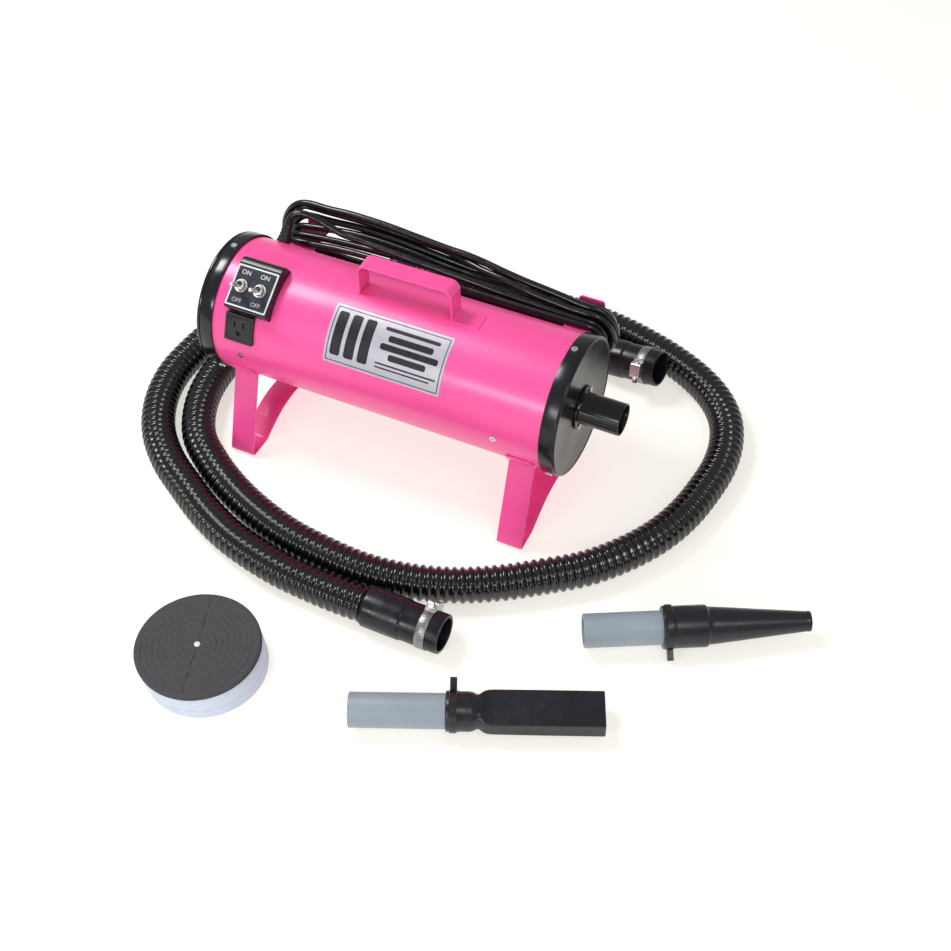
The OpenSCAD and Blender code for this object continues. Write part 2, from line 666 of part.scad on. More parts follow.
translate(kit_shift) {
    body_shell();
    intake_cap();
    intake_grille();
    outlet_cap();
    outlet_tube();
    outlet_screws();
    cap_screws();
    body_screws();
    leg_left();
    leg_right();
    handle();
    hook_left();
    hook_right();
    switch_box();
    switch_plate();
    switch_bodies();
    switch_nuts();
    toggle_left();
    toggle_right();
    receptacle();
    label();
    mount_rings();
    mount_gaskets();
    motor_cans();
    stators();
    bearings();
    rotor_intake();
    rotor_outlet();
    lead_gland();
    lead_start();
    lead_hank();
    lead_tail();
    plug();
    hose();
    cuff_front();
    cuff_rear();
    clamp_front();
    clamp_rear();
    worm_front();
    worm_rear();
    slot_tube();
    slot_clip();
    slot_tip();
    cone_tube();
    cone_clip();
    cone_tip();
    filter_case();
    filter_foam();
    filter_button();
}
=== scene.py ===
"""Looks of the pet dryer kit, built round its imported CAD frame.

Layout lengths are in millimetres, the scene in metres.
"""

import math

import bmesh
import bpy
import numpy as np
from mathutils import Matrix, Vector, noise


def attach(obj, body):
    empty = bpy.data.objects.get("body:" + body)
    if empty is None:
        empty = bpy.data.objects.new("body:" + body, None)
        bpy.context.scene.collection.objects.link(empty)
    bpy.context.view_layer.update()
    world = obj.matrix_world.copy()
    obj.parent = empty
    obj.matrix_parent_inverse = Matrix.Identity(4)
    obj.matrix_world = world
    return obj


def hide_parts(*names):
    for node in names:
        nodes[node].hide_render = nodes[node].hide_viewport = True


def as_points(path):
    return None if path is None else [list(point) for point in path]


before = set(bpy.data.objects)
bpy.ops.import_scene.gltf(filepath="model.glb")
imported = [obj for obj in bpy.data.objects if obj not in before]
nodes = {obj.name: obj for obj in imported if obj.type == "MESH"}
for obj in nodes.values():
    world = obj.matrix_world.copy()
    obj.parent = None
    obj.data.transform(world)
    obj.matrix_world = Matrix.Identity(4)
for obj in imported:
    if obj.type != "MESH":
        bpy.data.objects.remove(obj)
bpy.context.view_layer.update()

MM = 0.001
KIT_SHIFT = Vector((-172.0, 183.0, 0.0))  # the layout's origin is the floor under the body's middle
AXIS_Z = 178.0
BODY_R = 89.0
SHELL_END = 233.0


# ---------- frames and meshes ----------


def along_x(x, y=0.0, z=AXIS_Z):
    """Local +Z runs along the dryer's body, from x."""
    return Matrix.Translation((x, y, z)) @ Matrix.Rotation(math.pi / 2, 4, "Y")


def on_body(angle, x):
    """Local +Z points out of the body at an elevation, 0 in front and 90 on top. Local +Y is up the slope."""
    return Matrix.Translation((x, 0, AXIS_Z)) @ Matrix.Rotation(math.radians(90 - angle), 4, "X")


def lying(at, yaw, pitch):
    """Local +X runs along a piece that lies on the floor."""
    return (
        Matrix.Translation(at)
        @ Matrix.Rotation(math.radians(yaw), 4, "Z")
        @ Matrix.Rotation(math.radians(-pitch), 4, "Y")
    )


AXIAL = Matrix.Rotation(math.pi / 2, 4, "Y")  # local +Z onto local +X


def metres(point, m=Matrix.Identity(4)):
    return (m @ Vector(point) + KIT_SHIFT) * MM


def piece(name, verts, faces, material, body="dryer", m=Matrix.Identity(4), bevel=0.0, segments=2, slot=None,
          stands_for=(), flat=38.0):
    mesh = bpy.data.meshes.new(name)
    mesh.from_pydata([metres(v, m) for v in verts], [], faces)
    work = bmesh.new()
    work.from_mesh(mesh)
    bmesh.ops.remove_doubles(work, verts=work.verts, dist=1e-7)
    bmesh.ops.recalc_face_normals(work, faces=work.faces)
    work.to_mesh(mesh)
    work.free()
    mesh.shade_smooth()
    mesh.set_sharp_from_angle(angle=math.radians(flat))
    thing = bpy.data.objects.new(name, mesh)
    bpy.context.scene.collection.objects.link(thing)
    thing.data.materials.append(material)
    if bevel:
        mod = thing.modifiers.new("edge", "BEVEL")
        mod.width = bevel * MM
        mod.segments = segments
        mod.limit_method = "ANGLE"
        mod.angle_limit = math.radians(flat)
        mod.harden_normals = True
    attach(thing, body)
    if stands_for:
        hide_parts(*stands_for)
    return thing


def grid_faces(rows, columns, close_rows=False, close_columns=False):
    return [
        (i * columns + j, i * columns + (j + 1) % columns,
         ((i + 1) % rows) * columns + (j + 1) % columns, ((i + 1) % rows) * columns + j)
        for i in range(rows if close_rows else rows - 1)
        for j in range(columns if close_columns else columns - 1)
    ]


def revolve(name, profile, material, sides=128, closed=True, **options):
    """profile is (radius, height) points; closed joins its ends into a ring of solid."""
    turns = [2 * math.pi * k / sides for k in range(sides)]
    verts = [(r * math.cos(a), r * math.sin(a), z) for r, z in profile for a in turns]
    faces = grid_faces(len(profile), sides, close_rows=closed, close_columns=True)
    return piece(name, verts, faces, material, **options)


def fillet(points, radii, steps=6):
    """Rounds the corners of an open path in 2D."""
    points = [np.array(p, float) for p in points]
    if np.isscalar(radii):
        radii = [radii] * len(points)
    out = [points[0]]
    for i in range(1, len(points) - 1):
        a, b, c = points[i - 1], points[i], points[i + 1]
        u, v = (a - b) / np.linalg.norm(a - b), (c - b) / np.linalg.norm(c - b)
        half = math.acos(max(-1.0, min(1.0, float(u @ v)))) / 2
        if half > math.radians(88) or radii[i] == 0:
            out.append(b)
            continue
        back = min(radii[i] / math.tan(half), 0.48 * np.linalg.norm(a - b), 0.48 * np.linalg.norm(c - b))
        radius = back * math.tan(half)
        bisector = (u + v) / np.linalg.norm(u + v)
        centre = b + bisector * radius / math.sin(half)
        p, q = b + u * back - centre, b + v * back - centre
        turn = math.atan2(p[0] * q[1] - p[1] * q[0], float(p @ q))
        for k in range(steps + 1):
            t = turn * k / steps
            out.append(centre + np.array([p[0] * math.cos(t) - p[1] * math.sin(t),
                                          p[0] * math.sin(t) + p[1] * math.cos(t)]))
    out.append(points[-1])
    return out


def loop(corners, radius, steps=5):
    """A closed outline in 2D with rounded corners."""
    middle = (np.array(corners[0], float) + np.array(corners[-1], float)) / 2
    path = fillet([middle, *corners, middle], radius if np.isscalar(radius) else [0, *radius, 0], steps)
    return path[:-1]


def rectangle(w, h, radius, cx=0.0, cy=0.0):
    return loop([(cx - w / 2, cy - h / 2), (cx + w / 2, cy - h / 2), (cx + w / 2, cy + h / 2),
                 (cx - w / 2, cy + h / 2)], radius)


def prism(name, outline, low, high, material, **options):
    """An outline in local XY, drawn from z = low to z = high."""
    n = len(outline)
    verts = [(p[0], p[1], z) for z in (low, high) for p in outline]
    faces = grid_faces(2, n, close_columns=True) + [tuple(range(n)), tuple(range(2 * n - 1, n - 1, -1))]
    return piece(name, verts, faces, material, **options)


def framed(name, outer, inner, low, high, material, **options):
    """A prism with a hole through it; its two outlines have the same number of points."""
    n = len(outer)
    verts = [(p[0], p[1], z) for z in (low, high) for ring in (outer, inner) for p in ring]
    faces = []
    for a, b in ((0, 1), (3, 2), (2, 0), (1, 3)):
        faces += [(a * n + k, a * n + (k + 1) % n, b * n + (k + 1) % n, b * n + k) for k in range(n)]
    return piece(name, verts, faces, material, **options)


def smooth_path(points, step):
    """A smooth curve through 3D points, sampled about every step."""
    p = np.array(points, float)
    p = np.vstack([2 * p[0] - p[1], p, 2 * p[-1] - p[-2]])
    out = []
    for i in range(1, len(p) - 2):
        a, b, c, d = p[i - 1:i + 3]
        gaps = [max(np.linalg.norm(v) ** 0.5, 1e-6) for v in (b - a, c - b, d - c)]
        m1 = (c - b) + gaps[1] * ((b - a) / gaps[0] - (c - a) / (gaps[0] + gaps[1]))
        m2 = (c - b) + gaps[1] * ((d - c) / gaps[2] - (d - b) / (gaps[1] + gaps[2]))
        count = max(2, int(np.linalg.norm(c - b) / (step * 0.2)))
        for t in np.linspace(0, 1, count, endpoint=False):
            out.append((2 * t**3 - 3 * t**2 + 1) * b + (t**3 - 2 * t**2 + t) * m1
                       + (-2 * t**3 + 3 * t**2) * c + (t**3 - t**2) * m2)
    out = np.array(out + [p[-2]])
    along = np.r_[0, np.cumsum(np.linalg.norm(np.diff(out, axis=0), axis=1))]
    want = np.linspace(0, along[-1], max(2, round(along[-1] / step)) + 1)
    return np.stack([np.interp(want, along, out[:, k]) for k in range(3)], 1)


def tube(name, path, radii, material, sides=16, **options):
    """A round tube along a 3D path, its radius given at each point, with frames that do not twist."""
    tangents = np.gradient(path, axis=0)
    tangents /= np.linalg.norm(tangents, axis=1)[:, None]
    up = np.array([0.0, 0.0, 1.0]) if abs(tangents[0][2]) < 0.9 else np.array([1.0, 0.0, 0.0])
    verts = []
    for p, t, r in zip(path, tangents, radii):
        up = up - t * float(up @ t)
        up /= np.linalg.norm(up)
        side = np.cross(t, up)
        for k in range(sides):
            a = 2 * math.pi * k / sides
            verts.append(tuple(p + r * (math.cos(a) * up + math.sin(a) * side)))
    faces = grid_faces(len(path), sides, close_columns=True)
    last = (len(path) - 1) * sides
    faces += [tuple(range(sides)), tuple(range(last + sides - 1, last - 1, -1))]
    return piece(name, verts, faces, material, **options)


def cut(target, *cutters):
    """Cuts solids out of a piece, for good."""
    for cutter in cutters:
        mod = target.modifiers.new("cut", "BOOLEAN")
        mod.object = cutter
        mod.solver = "EXACT"
    graph = bpy.context.evaluated_depsgraph_get()
    made = bpy.data.meshes.new_from_object(target.evaluated_get(graph))
    target.modifiers.clear()
    target.data = made
    made.set_sharp_from_angle(angle=math.radians(38))
    for cutter in cutters:
        bpy.data.objects.remove(cutter)


# ---------- materials ----------


class Shader:
    """A procedural material in the making: a Principled shader with noise on what varies."""

    def __init__(self, name, color, roughness, metallic=0.0, coat=0.0, coat_roughness=0.08, specular=None):
        self.material = bpy.data.materials.new(name)
        self.material.use_nodes = True
        self.tree = self.material.node_tree
        self.bsdf = self.tree.nodes["Principled BSDF"]
        self.color = color
        self.roughness = roughness
        self.bsdf.inputs["Base Color"].default_value = (*color, 1)
        self.bsdf.inputs["Roughness"].default_value = roughness
        self.bsdf.inputs["Metallic"].default_value = metallic
        self.bsdf.inputs["Coat Weight"].default_value = coat
        self.bsdf.inputs["Coat Roughness"].default_value = coat_roughness
        if specular is not None:
            self.bsdf.inputs["Specular IOR Level"].default_value = specular
        self.coords = self.node("ShaderNodeTexCoord").outputs["Object"]

    def node(self, kind, **values):
        made = self.tree.nodes.new(kind)
        for key, value in values.items():
            if key in made.inputs:
                made.inputs[key].default_value = value
            else:
                setattr(made, key, value)
        return made

    def link(self, a, b):
        self.tree.links.new(a, b)
        return self

    def noise(self, scale, detail=3.0, stretch=(1, 1, 1)):
        mapping = self.node("ShaderNodeMapping")
        mapping.inputs["Scale"].default_value = stretch
        self.link(self.coords, mapping.inputs["Vector"])
        texture = self.node("ShaderNodeTexNoise", Scale=scale, Detail=detail)
        self.link(mapping.outputs["Vector"], texture.inputs["Vector"])
        return texture.outputs["Fac"]

    def ramp(self, fac, stops):
        made = self.node("ShaderNodeValToRGB")
        elements = made.color_ramp.elements
        while len(elements) < len(stops):
            elements.new(0.5)
        for element, (place, color) in zip(elements, stops):
            element.position = place
            element.color = (*color, 1) if hasattr(color, "__len__") else (color, color, color, 1)
        self.link(fac, made.inputs["Fac"])
        return made.outputs["Color"]

    def vary(self, scale, amount, detail=4.0, stretch=(1, 1, 1)):
        """Lets the colour wander between two shades."""
        dark = [c * (1 - amount) for c in self.color]
        light = [min(1, c * (1 + amount)) for c in self.color]
        color = self.ramp(self.noise(scale, detail, stretch), [(0.3, dark), (0.7, light)])
        return self.link(color, self.bsdf.inputs["Base Color"])

    def worn(self, scale, spread, stretch=(1, 1, 1)):
        low, high = max(0.02, self.roughness - spread), min(1, self.roughness + spread)
        value = self.ramp(self.noise(scale, 5.0, stretch), [(0.32, low), (0.68, high)])
        return self.link(value, self.bsdf.inputs["Roughness"])

    def bump(self, height, strength, distance):
        made = self.node("ShaderNodeBump", Strength=strength, Distance=distance)
        self.link(height, made.inputs["Height"])
        previous = self.bsdf.inputs["Normal"].links
        if previous:
            self.link(previous[0].from_socket, made.inputs["Normal"])
        return self.link(made.outputs["Normal"], self.bsdf.inputs["Normal"])


def make_materials():
    m = {}

    def keep(name, *args, **options):
        shader = Shader(name, *args, **options)
        m[name] = shader.material
        return shader

    paint = keep("paint_pink", (0.93, 0.080, 0.335), 0.36, coat=0.2, coat_roughness=0.18)
    paint.vary(7, 0.03).worn(22, 0.05)
    paint.bump(paint.noise(900, 2), 0.04, 0.0006).bump(paint.noise(60, 3), 0.05, 0.002)
    black = keep("cap_black", (0.0055, 0.006, 0.009), 0.17)
    black.vary(30, 0.25).worn(50, 0.05).bump(black.noise(700, 2), 0.03, 0.0005)
    face = keep("face_black", (0.006, 0.0065, 0.0095), 0.24, specular=0.36)
    face.vary(30, 0.2).worn(18, 0.04).bump(face.noise(90, 2), 0.03, 0.0008)
    moulded = keep("tube_black", (0.004, 0.0043, 0.006), 0.16, specular=0.42)
    moulded.vary(40, 0.3).worn(70, 0.05).bump(moulded.noise(900, 2), 0.05, 0.0004)
    keep("box_black", (0.005, 0.005, 0.006), 0.24).vary(60, 0.3).worn(90, 0.06)
    chrome = keep("chrome", (0.80, 0.80, 0.81), 0.18, metallic=1.0)
    chrome.vary(300, 0.10).worn(400, 0.07)
    keep("lever", (0.90, 0.89, 0.87), 0.30, metallic=0.85).vary(300, 0.06).worn(400, 0.06)
    brushed = keep("brushed", (0.52, 0.52, 0.52), 0.38, metallic=1.0)
    brushed.vary(200, 0.10, stretch=(1, 6, 6)).worn(500, 0.08).bump(brushed.noise(600, 2, (4, 1, 1)), 0.06,
        0.0002)
    # painted shade: the dark colour that stands for the clamp bands' slot holes
    keep("slot_painted_shade", (0.10, 0.10, 0.10), 0.6).vary(200, 0.3).worn(200, 0.08)
    keep("iron", (0.12, 0.12, 0.13), 0.5, metallic=1.0).vary(200, 0.3).worn(300, 0.1)
    keep("copper", (0.55, 0.36, 0.2), 0.35, metallic=1.0).vary(200, 0.2).worn(300, 0.1)
    keep("rubber", (0.009, 0.009, 0.010), 0.45).vary(150, 0.3).worn(200, 0.08)
    lead = keep("lead", (0.0035, 0.0038, 0.0058), 0.22)
    lead.vary(90, 0.3).worn(120, 0.06).bump(lead.noise(260, 3), 0.08, 0.001)
    hose = keep("hose", (0.003, 0.0034, 0.0045), 0.15, specular=0.5, coat=0.3, coat_roughness=0.07)
    hose.vary(60, 0.3).worn(130, 0.05).bump(hose.noise(340, 3), 0.12, 0.0010)
    cuff = keep("cuff", (0.005, 0.006, 0.010), 0.30, specular=0.4)
    cuff.vary(50, 0.3).worn(60, 0.08).bump(cuff.noise(420, 3), 0.08, 0.0008)
    band = keep("band", (0.29, 0.29, 0.30), 0.40, metallic=1.0)
    band.vary(160, 0.12).worn(500, 0.08)
    keep("panel", (0.010, 0.014, 0.024), 0.33).vary(120, 0.2).worn(160, 0.06)
    keep("print_light", (0.66, 0.70, 0.74), 0.45).vary(400, 0.08).worn(300, 0.06)
    keep("print_grey", (0.38, 0.41, 0.45), 0.45).vary(400, 0.10).worn(300, 0.06)
    socket = keep("socket", (0.013, 0.013, 0.014), 0.45)
    socket.vary(90, 0.3).worn(200, 0.06).bump(socket.noise(1200, 2), 0.1, 0.0004)
    label = keep("label", (0.46, 0.44, 0.50), 0.38, metallic=0.12)
    label.vary(40, 0.05, stretch=(1, 12, 12)).worn(120, 0.06).bump(label.noise(900, 2, (1, 8, 8)), 0.05,
        0.0003)
    keep("ink", (0.014, 0.013, 0.018), 0.45, specular=0.3).vary(200, 0.25).worn(200, 0.06)
    grey = keep("grey_tube", (0.27, 0.32, 0.37), 0.42)
    grey.vary(28, 0.05).worn(80, 0.06).bump(grey.noise(500, 3, (4, 1, 1)), 0.06, 0.0006)
    nozzle = keep("nozzle", (0.006, 0.0075, 0.013), 0.34)
    nozzle.vary(40, 0.3).worn(70, 0.07).bump(nozzle.noise(600, 3), 0.08, 0.0006)
    keep("clip", (0.007, 0.007, 0.008), 0.32).vary(100, 0.3).worn(150, 0.08)
    side = keep("filter_side", (0.60, 0.65, 0.78), 0.6)
    side.vary(60, 0.05, stretch=(1, 1, 6)).worn(90, 0.06).bump(side.noise(700, 3), 0.12, 0.0008)
    foam = keep("foam", (0.072, 0.072, 0.078), 0.92, specular=0.2)
    foam.vary(420, 0.22, 6.0).worn(300, 0.05).bump(foam.noise(1500, 4), 0.4, 0.0010).bump(foam.noise(90, 3),
        0.3, 0.002)
    keep("button", (0.74, 0.74, 0.74), 0.35).vary(300, 0.05).worn(300, 0.05)
    aluminium = keep("aluminium", (0.62, 0.63, 0.65), 0.36, metallic=1.0)
    aluminium.vary(90, 0.1).worn(200, 0.08).bump(aluminium.noise(900, 2), 0.1, 0.0004)
    floor = keep("floor", (0.50, 0.49, 0.465), 0.8, specular=0.1)
    floor.vary(3, 0.006).worn(4, 0.02)
    floor.bsdf.inputs["Emission Color"].default_value = (1.0, 0.965, 0.90, 1)
    floor.bsdf.inputs["Emission Strength"].default_value = 0.65
    return m


MATERIAL = make_materials()


# ---------- camera ----------


CAMERA_AT = (0.5448, -1.0330, 1.4884)
CAMERA_YAW, CAMERA_PITCH, CAMERA_ROLL = -26.857, 47.887, -1.792
CAMERA_LENS, SENSOR_W = 55.78, 36.0


def make_camera():
    yaw, pitch, roll = (math.radians(a) for a in (CAMERA_YAW, CAMERA_PITCH, CAMERA_ROLL))
    forward = Vector((math.sin(yaw) * math.cos(pitch), math.cos(yaw) * math.cos(pitch), -math.sin(pitch)))
    right = Vector((math.cos(yaw), -math.sin(yaw), 0))
    up = right.cross(forward)
    right, up = (right * math.cos(roll) + up * math.sin(roll), up * math.cos(roll) - right * math.sin(roll))
    camera = bpy.data.objects.new("camera", bpy.data.cameras.new("camera"))
    bpy.context.scene.collection.objects.link(camera)
    camera.data.lens = CAMERA_LENS
    camera.data.sensor_width = SENSOR_W
    camera.data.clip_start = 0.05
    camera.matrix_world = Matrix((*zip(right, up, -forward, CAMERA_AT), (0, 0, 0, 1)))
    bpy.context.scene.camera = camera


make_camera()

# ---------- mains lead ----------

LEAD_D = 9.5
LEAD_STEP = 4.0
GLAND_X, GLAND_ANGLE, GLAND_L = -208.0, 135.0, 24.0


def gland_at(radius):
    a = math.radians(GLAND_ANGLE)
    return (GLAND_X, -radius * math.cos(a), AXIS_Z + radius * math.sin(a))


def end_turn(x, reach, top, bottom, mid_y, downward):
    """Half a turn of the hank round a hook: top and bottom are (y, z) where it starts and ends."""
    points = []
    for k in range(1, 10):
        t = math.pi / 2 - math.pi * k / 10
        share = k / 10
        y = (1 - share) * (1 - 2 * share) * top[0] + 4 * share * (1 - share) * mid_y
        y += share * (2 * share - 1) * bottom[0]
        z = (top[1] + bottom[1]) / 2 + (top[1] - bottom[1]) / 2 * math.sin(t)
        points.append((x + reach * math.cos(t), y, z))
    return points if downward else points[::-1]


def make_lead_route():
    """The lead leaves its gland and makes seven turns round the hooks; its end hangs behind the body."""
    left, right = -205.0, 213.5
    tops = [
        [(-115, 99, 250), (-90, 99, 247.8), (-60, 99, 245.2), (-36, 99, 243), (0, 99.5, 239.8),
         (60, 100, 234.4), (90, 100, 231.5), (140, 100, 228.5), (190, 100, 226)],
        [(-185, 90, 226.5), (-140, 92, 230), (-100, 93, 231), (-30, 93, 230.4), (40, 91.7, 227.5),
         (100, 91, 226), (190, 91, 225.2)],
        [(-180, 106, 226.5), (-140, 108, 228.4), (-100, 109.5, 229.2), (-40, 110.5, 229), (0, 110.5, 227.8),
         (90, 109.3, 225.6), (190, 109.5, 225)],
        [(-180, 121, 231), (-140, 123, 235), (-100, 124.6, 235), (-40, 123.8, 232), (0, 121.5, 228.6),
         (90, 118.9, 225.6), (190, 119, 225)],
        [(-172, 130.3, 239.6), (-127, 130, 242.6), (-81, 129.2, 241.6), (-36, 127.9, 239), (6, 127.4, 235),
         (60, 128.2, 228.6), (90, 128.3, 226.4), (140, 128.5, 225.2), (190, 128.5, 225)],
        [(-172, 133.5, 251.5), (-127, 133.5, 252.2), (-81, 133, 250.2), (-36, 132.7, 247.2), (6, 132, 243.9),
         (35, 124.7, 243.4), (60, 118, 243), (90, 113, 243), (119, 109, 240), (140, 107, 238),
         (176, 105.5, 234.8), (195, 105, 233.6)],
        [(-172, 128.2, 261.2), (-140, 128.6, 262.6), (-87, 129, 260.8), (-40, 128.3, 256.9), (6, 127, 253.6),
         (35, 126, 252.8), (60, 124.3, 250.8), (90, 120.5, 248.3), (119, 118, 245.5), (150, 116.8, 242.6),
         (176, 115.6, 240), (199, 114.8, 236.8)],
    ]
    right_turns = [((100, 225), (107.5, 170), 107.3), ((91, 225), (97, 168), 97.5),
                   ((109.5, 225), (117, 170), 116.8), ((119, 225), (126.5, 170), 126.2),
                   ((128.5, 225), (136, 172.5), 135.7), ((105, 233.2), (112.5, 161), 111.5),
                   ((114.6, 236), (122, 161.5), 121.5)]
    left_turns = [((90, 225), (97, 172.5), 95.5), ((104, 225), (104.5, 166.5), 105.5),
                  ((119, 228.5), (116, 170), 116.2), ((131, 238), (125.5, 171.5), 126),
                  ((133.5, 251.4), (133.5, 179), 136.3), ((128, 261), (113, 160.5), 119.8)]
    right_reach = [26, 26, 26, 26, 26, 35.5, 35.5]
    left_reach = [26.5, 26, 25, 27, 29, 37]
    bottoms = [[(60, 105, 171), (-60, 100.5, 171.8)], [(110, 99, 162.5), (0, 101.5, 160),
        (-110, 102.5, 161.5)],
               [(0, 116.8, 171.5)], [(0, 126, 172.6)], [(0, 134.6, 177.5)], [(0, 113, 161)]]
    route = [gland_at(BODY_R + GLAND_L - 6), gland_at(BODY_R + GLAND_L), gland_at(BODY_R + GLAND_L + 7),
             (-206, 89, 267), (-200, 93, 270), (-190, 96, 270), (-178, 98, 266.5), (-165, 99, 261.5),
             (-151, 99, 256.5), (-137, 99, 252)]
    for i in range(len(tops)):
        route += tops[i]
        top, bottom, mid = right_turns[i]
        route += [(right, *top), *end_turn(right, right_reach[i], top, bottom, mid, True), (right, *bottom)]
        if i < len(bottoms):
            route += bottoms[i]
            top, bottom, mid = left_turns[i]
            route += [(left, *bottom), *end_turn(left, -left_reach[i], top, bottom, mid, False), (left, *top)]
    return route + [(90, 123, 163.3), (0, 125, 163.8), (-28, 126.5, 164.2), (-46, 126.3, 162),
                    (-59, 125.5, 155), (-67, 124.3, 145), (-70, 123, 136.5), (-70, 123, 130)]


def along(path):
    return [tuple(metres(p)) for p in path]


lead_path = smooth_path(make_lead_route(), LEAD_STEP)
lead = tube("mains_lead", lead_path, [LEAD_D / 2] * len(lead_path), MATERIAL["lead"], sides=18,
            slot="lead_rubber", stands_for=("lead_start", "lead_hank", "lead_tail"))

revolve("gland_relief", [
    (0, 83), (6, 83), (6, 89.2), (9.5, 89.4), (9.7, 90.2), (9.3, 92.2), (8.5, 92.6),
    *[p for k in range(4) for p in ((8.35 - 0.42 * k, 94.6 + 4.5 * k), (8.2 - 0.42 * k, 97.2 + 4.5 * k),
                                    (7.0 - 0.4 * k, 97.6 + 4.5 * k), (6.9 - 0.4 * k, 98.8 + 4.5 * k))][:-1],
    (5.9, 113.0), (4.6, 113.2), (0, 113.2)], MATERIAL["rubber"], sides=48, closed=False,
    m=on_body(GLAND_ANGLE, GLAND_X), slot="gland_rubber", stands_for=("lead_gland",), flat=50)

PLUG = Matrix.Translation((-70, 123, 132))
plug_relief = revolve("plug_relief", [
    (0, 3), (5.0, 3), (5.9, 2.4), (6.4, 0), (6.9, -2.4), (6.3, -2.8), (6.5, -4.2), (7.8, -4.6), (8.3, -7.0),
    (7.6, -7.4), (7.8, -8.8), (9.2, -9.2), (9.8, -11.6), (9.2, -12), (9.4, -13.2), (10.6, -14), (11, -16.5),
    (0, -17)], MATERIAL["rubber"], sides=40,
    closed=False, m=PLUG, slot="plug_rubber", flat=45)
plug_body = prism("plug_body", rectangle(26, 22, 5), -34, -15.8, MATERIAL["rubber"], m=PLUG, bevel=1.6,
                  segments=3, slot="plug_rubber", stands_for=("plug",))
plug_pins = [prism(f"plug_blade_{side}", rectangle(1.5, 6.4, 0.5, cx=x), -52, -33.5, MATERIAL["chrome"],
                   m=PLUG, bevel=0.3, slot="nut_steel")
             for side, x in (("left", -6.35), ("right", 6.35))]
plug_pins.append(revolve("plug_ground_pin", [(0, -33.5), (2.4, -33.5), (2.4, -53.4), (1.6, -54.6), (0, -55)],
                         MATERIAL["chrome"], sides=24, closed=False, m=PLUG @ Matrix.Translation((0, 8, 0)),
                         slot="nut_steel"))
tuple(metres(gland_at(BODY_R + GLAND_L)))
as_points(along(lead_path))

# ---------- hose ----------

CUFF_Z = 26.8
HOSE_Z = 23.9
HOSE_ROUTE = [  # the same points as hose_route in part.scad; a point with two values lies at HOSE_Z
    (92, -289, CUFF_Z), (60, -289, 25.5), (15, -287), (-35, -283), (-84, -274), (-130, -261), (-178, -240),
    (-225, -213), (-274, -182), (-318, -140), (-347, -90), (-361, -37), (-360, 18), (-352, 70), (-336, 123),
    (-310, 175), (-272, 223), (-222, 263), (-162, 296), (-92, 312), (-18, 319), (55, 321), (120, 319),
    (178, 313), (230, 301), (280, 284), (325, 262), (362, 234), (389, 199), (404, 158), (409, 114), (405, 66),
    (396, 17), (378, -32), (350, -78), (314, -120), (271, -154), (224, -187), (173, -214), (117, -232),
    (58, -240), (-1, -237), (-58, -229), (-113, -213), (-165, -191), (-215, -162), (-260, -126), (-289, -78),
    (-303, -27), (-303, 29), (-286, 82), (-260, 131), (-222, 173), (-173, 207), (-116, 232), (-54, 248),
(10, 257), (72, 259), (126, 256.5, 24.2), (174, 250.5, 28), ]
FRONT_CUFF = lying((92, -289, CUFF_Z), 0, 0)
REAR_CUFF = lying((174, 250.5, 28), -7.3, 9.8)
RIB_PITCH = 10.4
RIB_ROOT_R, RIB_H = 20.2, 3.4
RIB_SHAPE = [0.0, 0.15, 0.62, 0.92, 1.0, 0.92, 0.62, 0.15]  # height of a rib along one pitch


def make_hose():
    steps = len(RIB_SHAPE)
    path = smooth_path([p if len(p) == 3 else (*p, HOSE_Z) for p in HOSE_ROUTE], RIB_PITCH / steps)
    radii = [RIB_ROOT_R + RIB_H * RIB_SHAPE[i % steps] for i in range(len(path))]
    hose = tube("blower_hose", path, radii, MATERIAL["hose"], sides=36, body="hose_assembly",
                slot="hose_black", stands_for=("hose",), flat=80)
    return hose, path


def make_cuff(name, m):
    return revolve(f"{name}_sleeve", [
        (24.3, -0.6), (25.9, 0.2), (26.7, 1.8), (26.8, 4), (26.8, 50.6), (26.5, 52.6), (25.9, 53.6),
        (25.6, 55.5), (25.6, 104.2), (25.1, 105.5), (24.2, 106), (22.2, 106), (21.5, 105.4), (21.2, 104.2),
        (21.2, 57), (19.2, 55.5), (19.2, 2), (20.5, -0.6)],
        MATERIAL["cuff"], sides=96, body="hose_assembly", m=m @ AXIAL, slot="cuff_rubber", stands_for=(name,),
        flat=32)


CLAMP_AT, CLAMP_W, CLAMP_R = 77.0, 13.0, 25.6
SLOT_COUNT, SLOTS_FROM, SLOTS_SPAN = 34, 24, 312  # slots of a band, and the arc in degrees that they fill
SLOT_HALF, SLOT_SLANT = 0.013, -0.067  # half a slot's width and its slant, in radians round the band
SLOT_LOW, SLOT_HIGH, SLOT_AT = 3.2, 9.8, 0.012


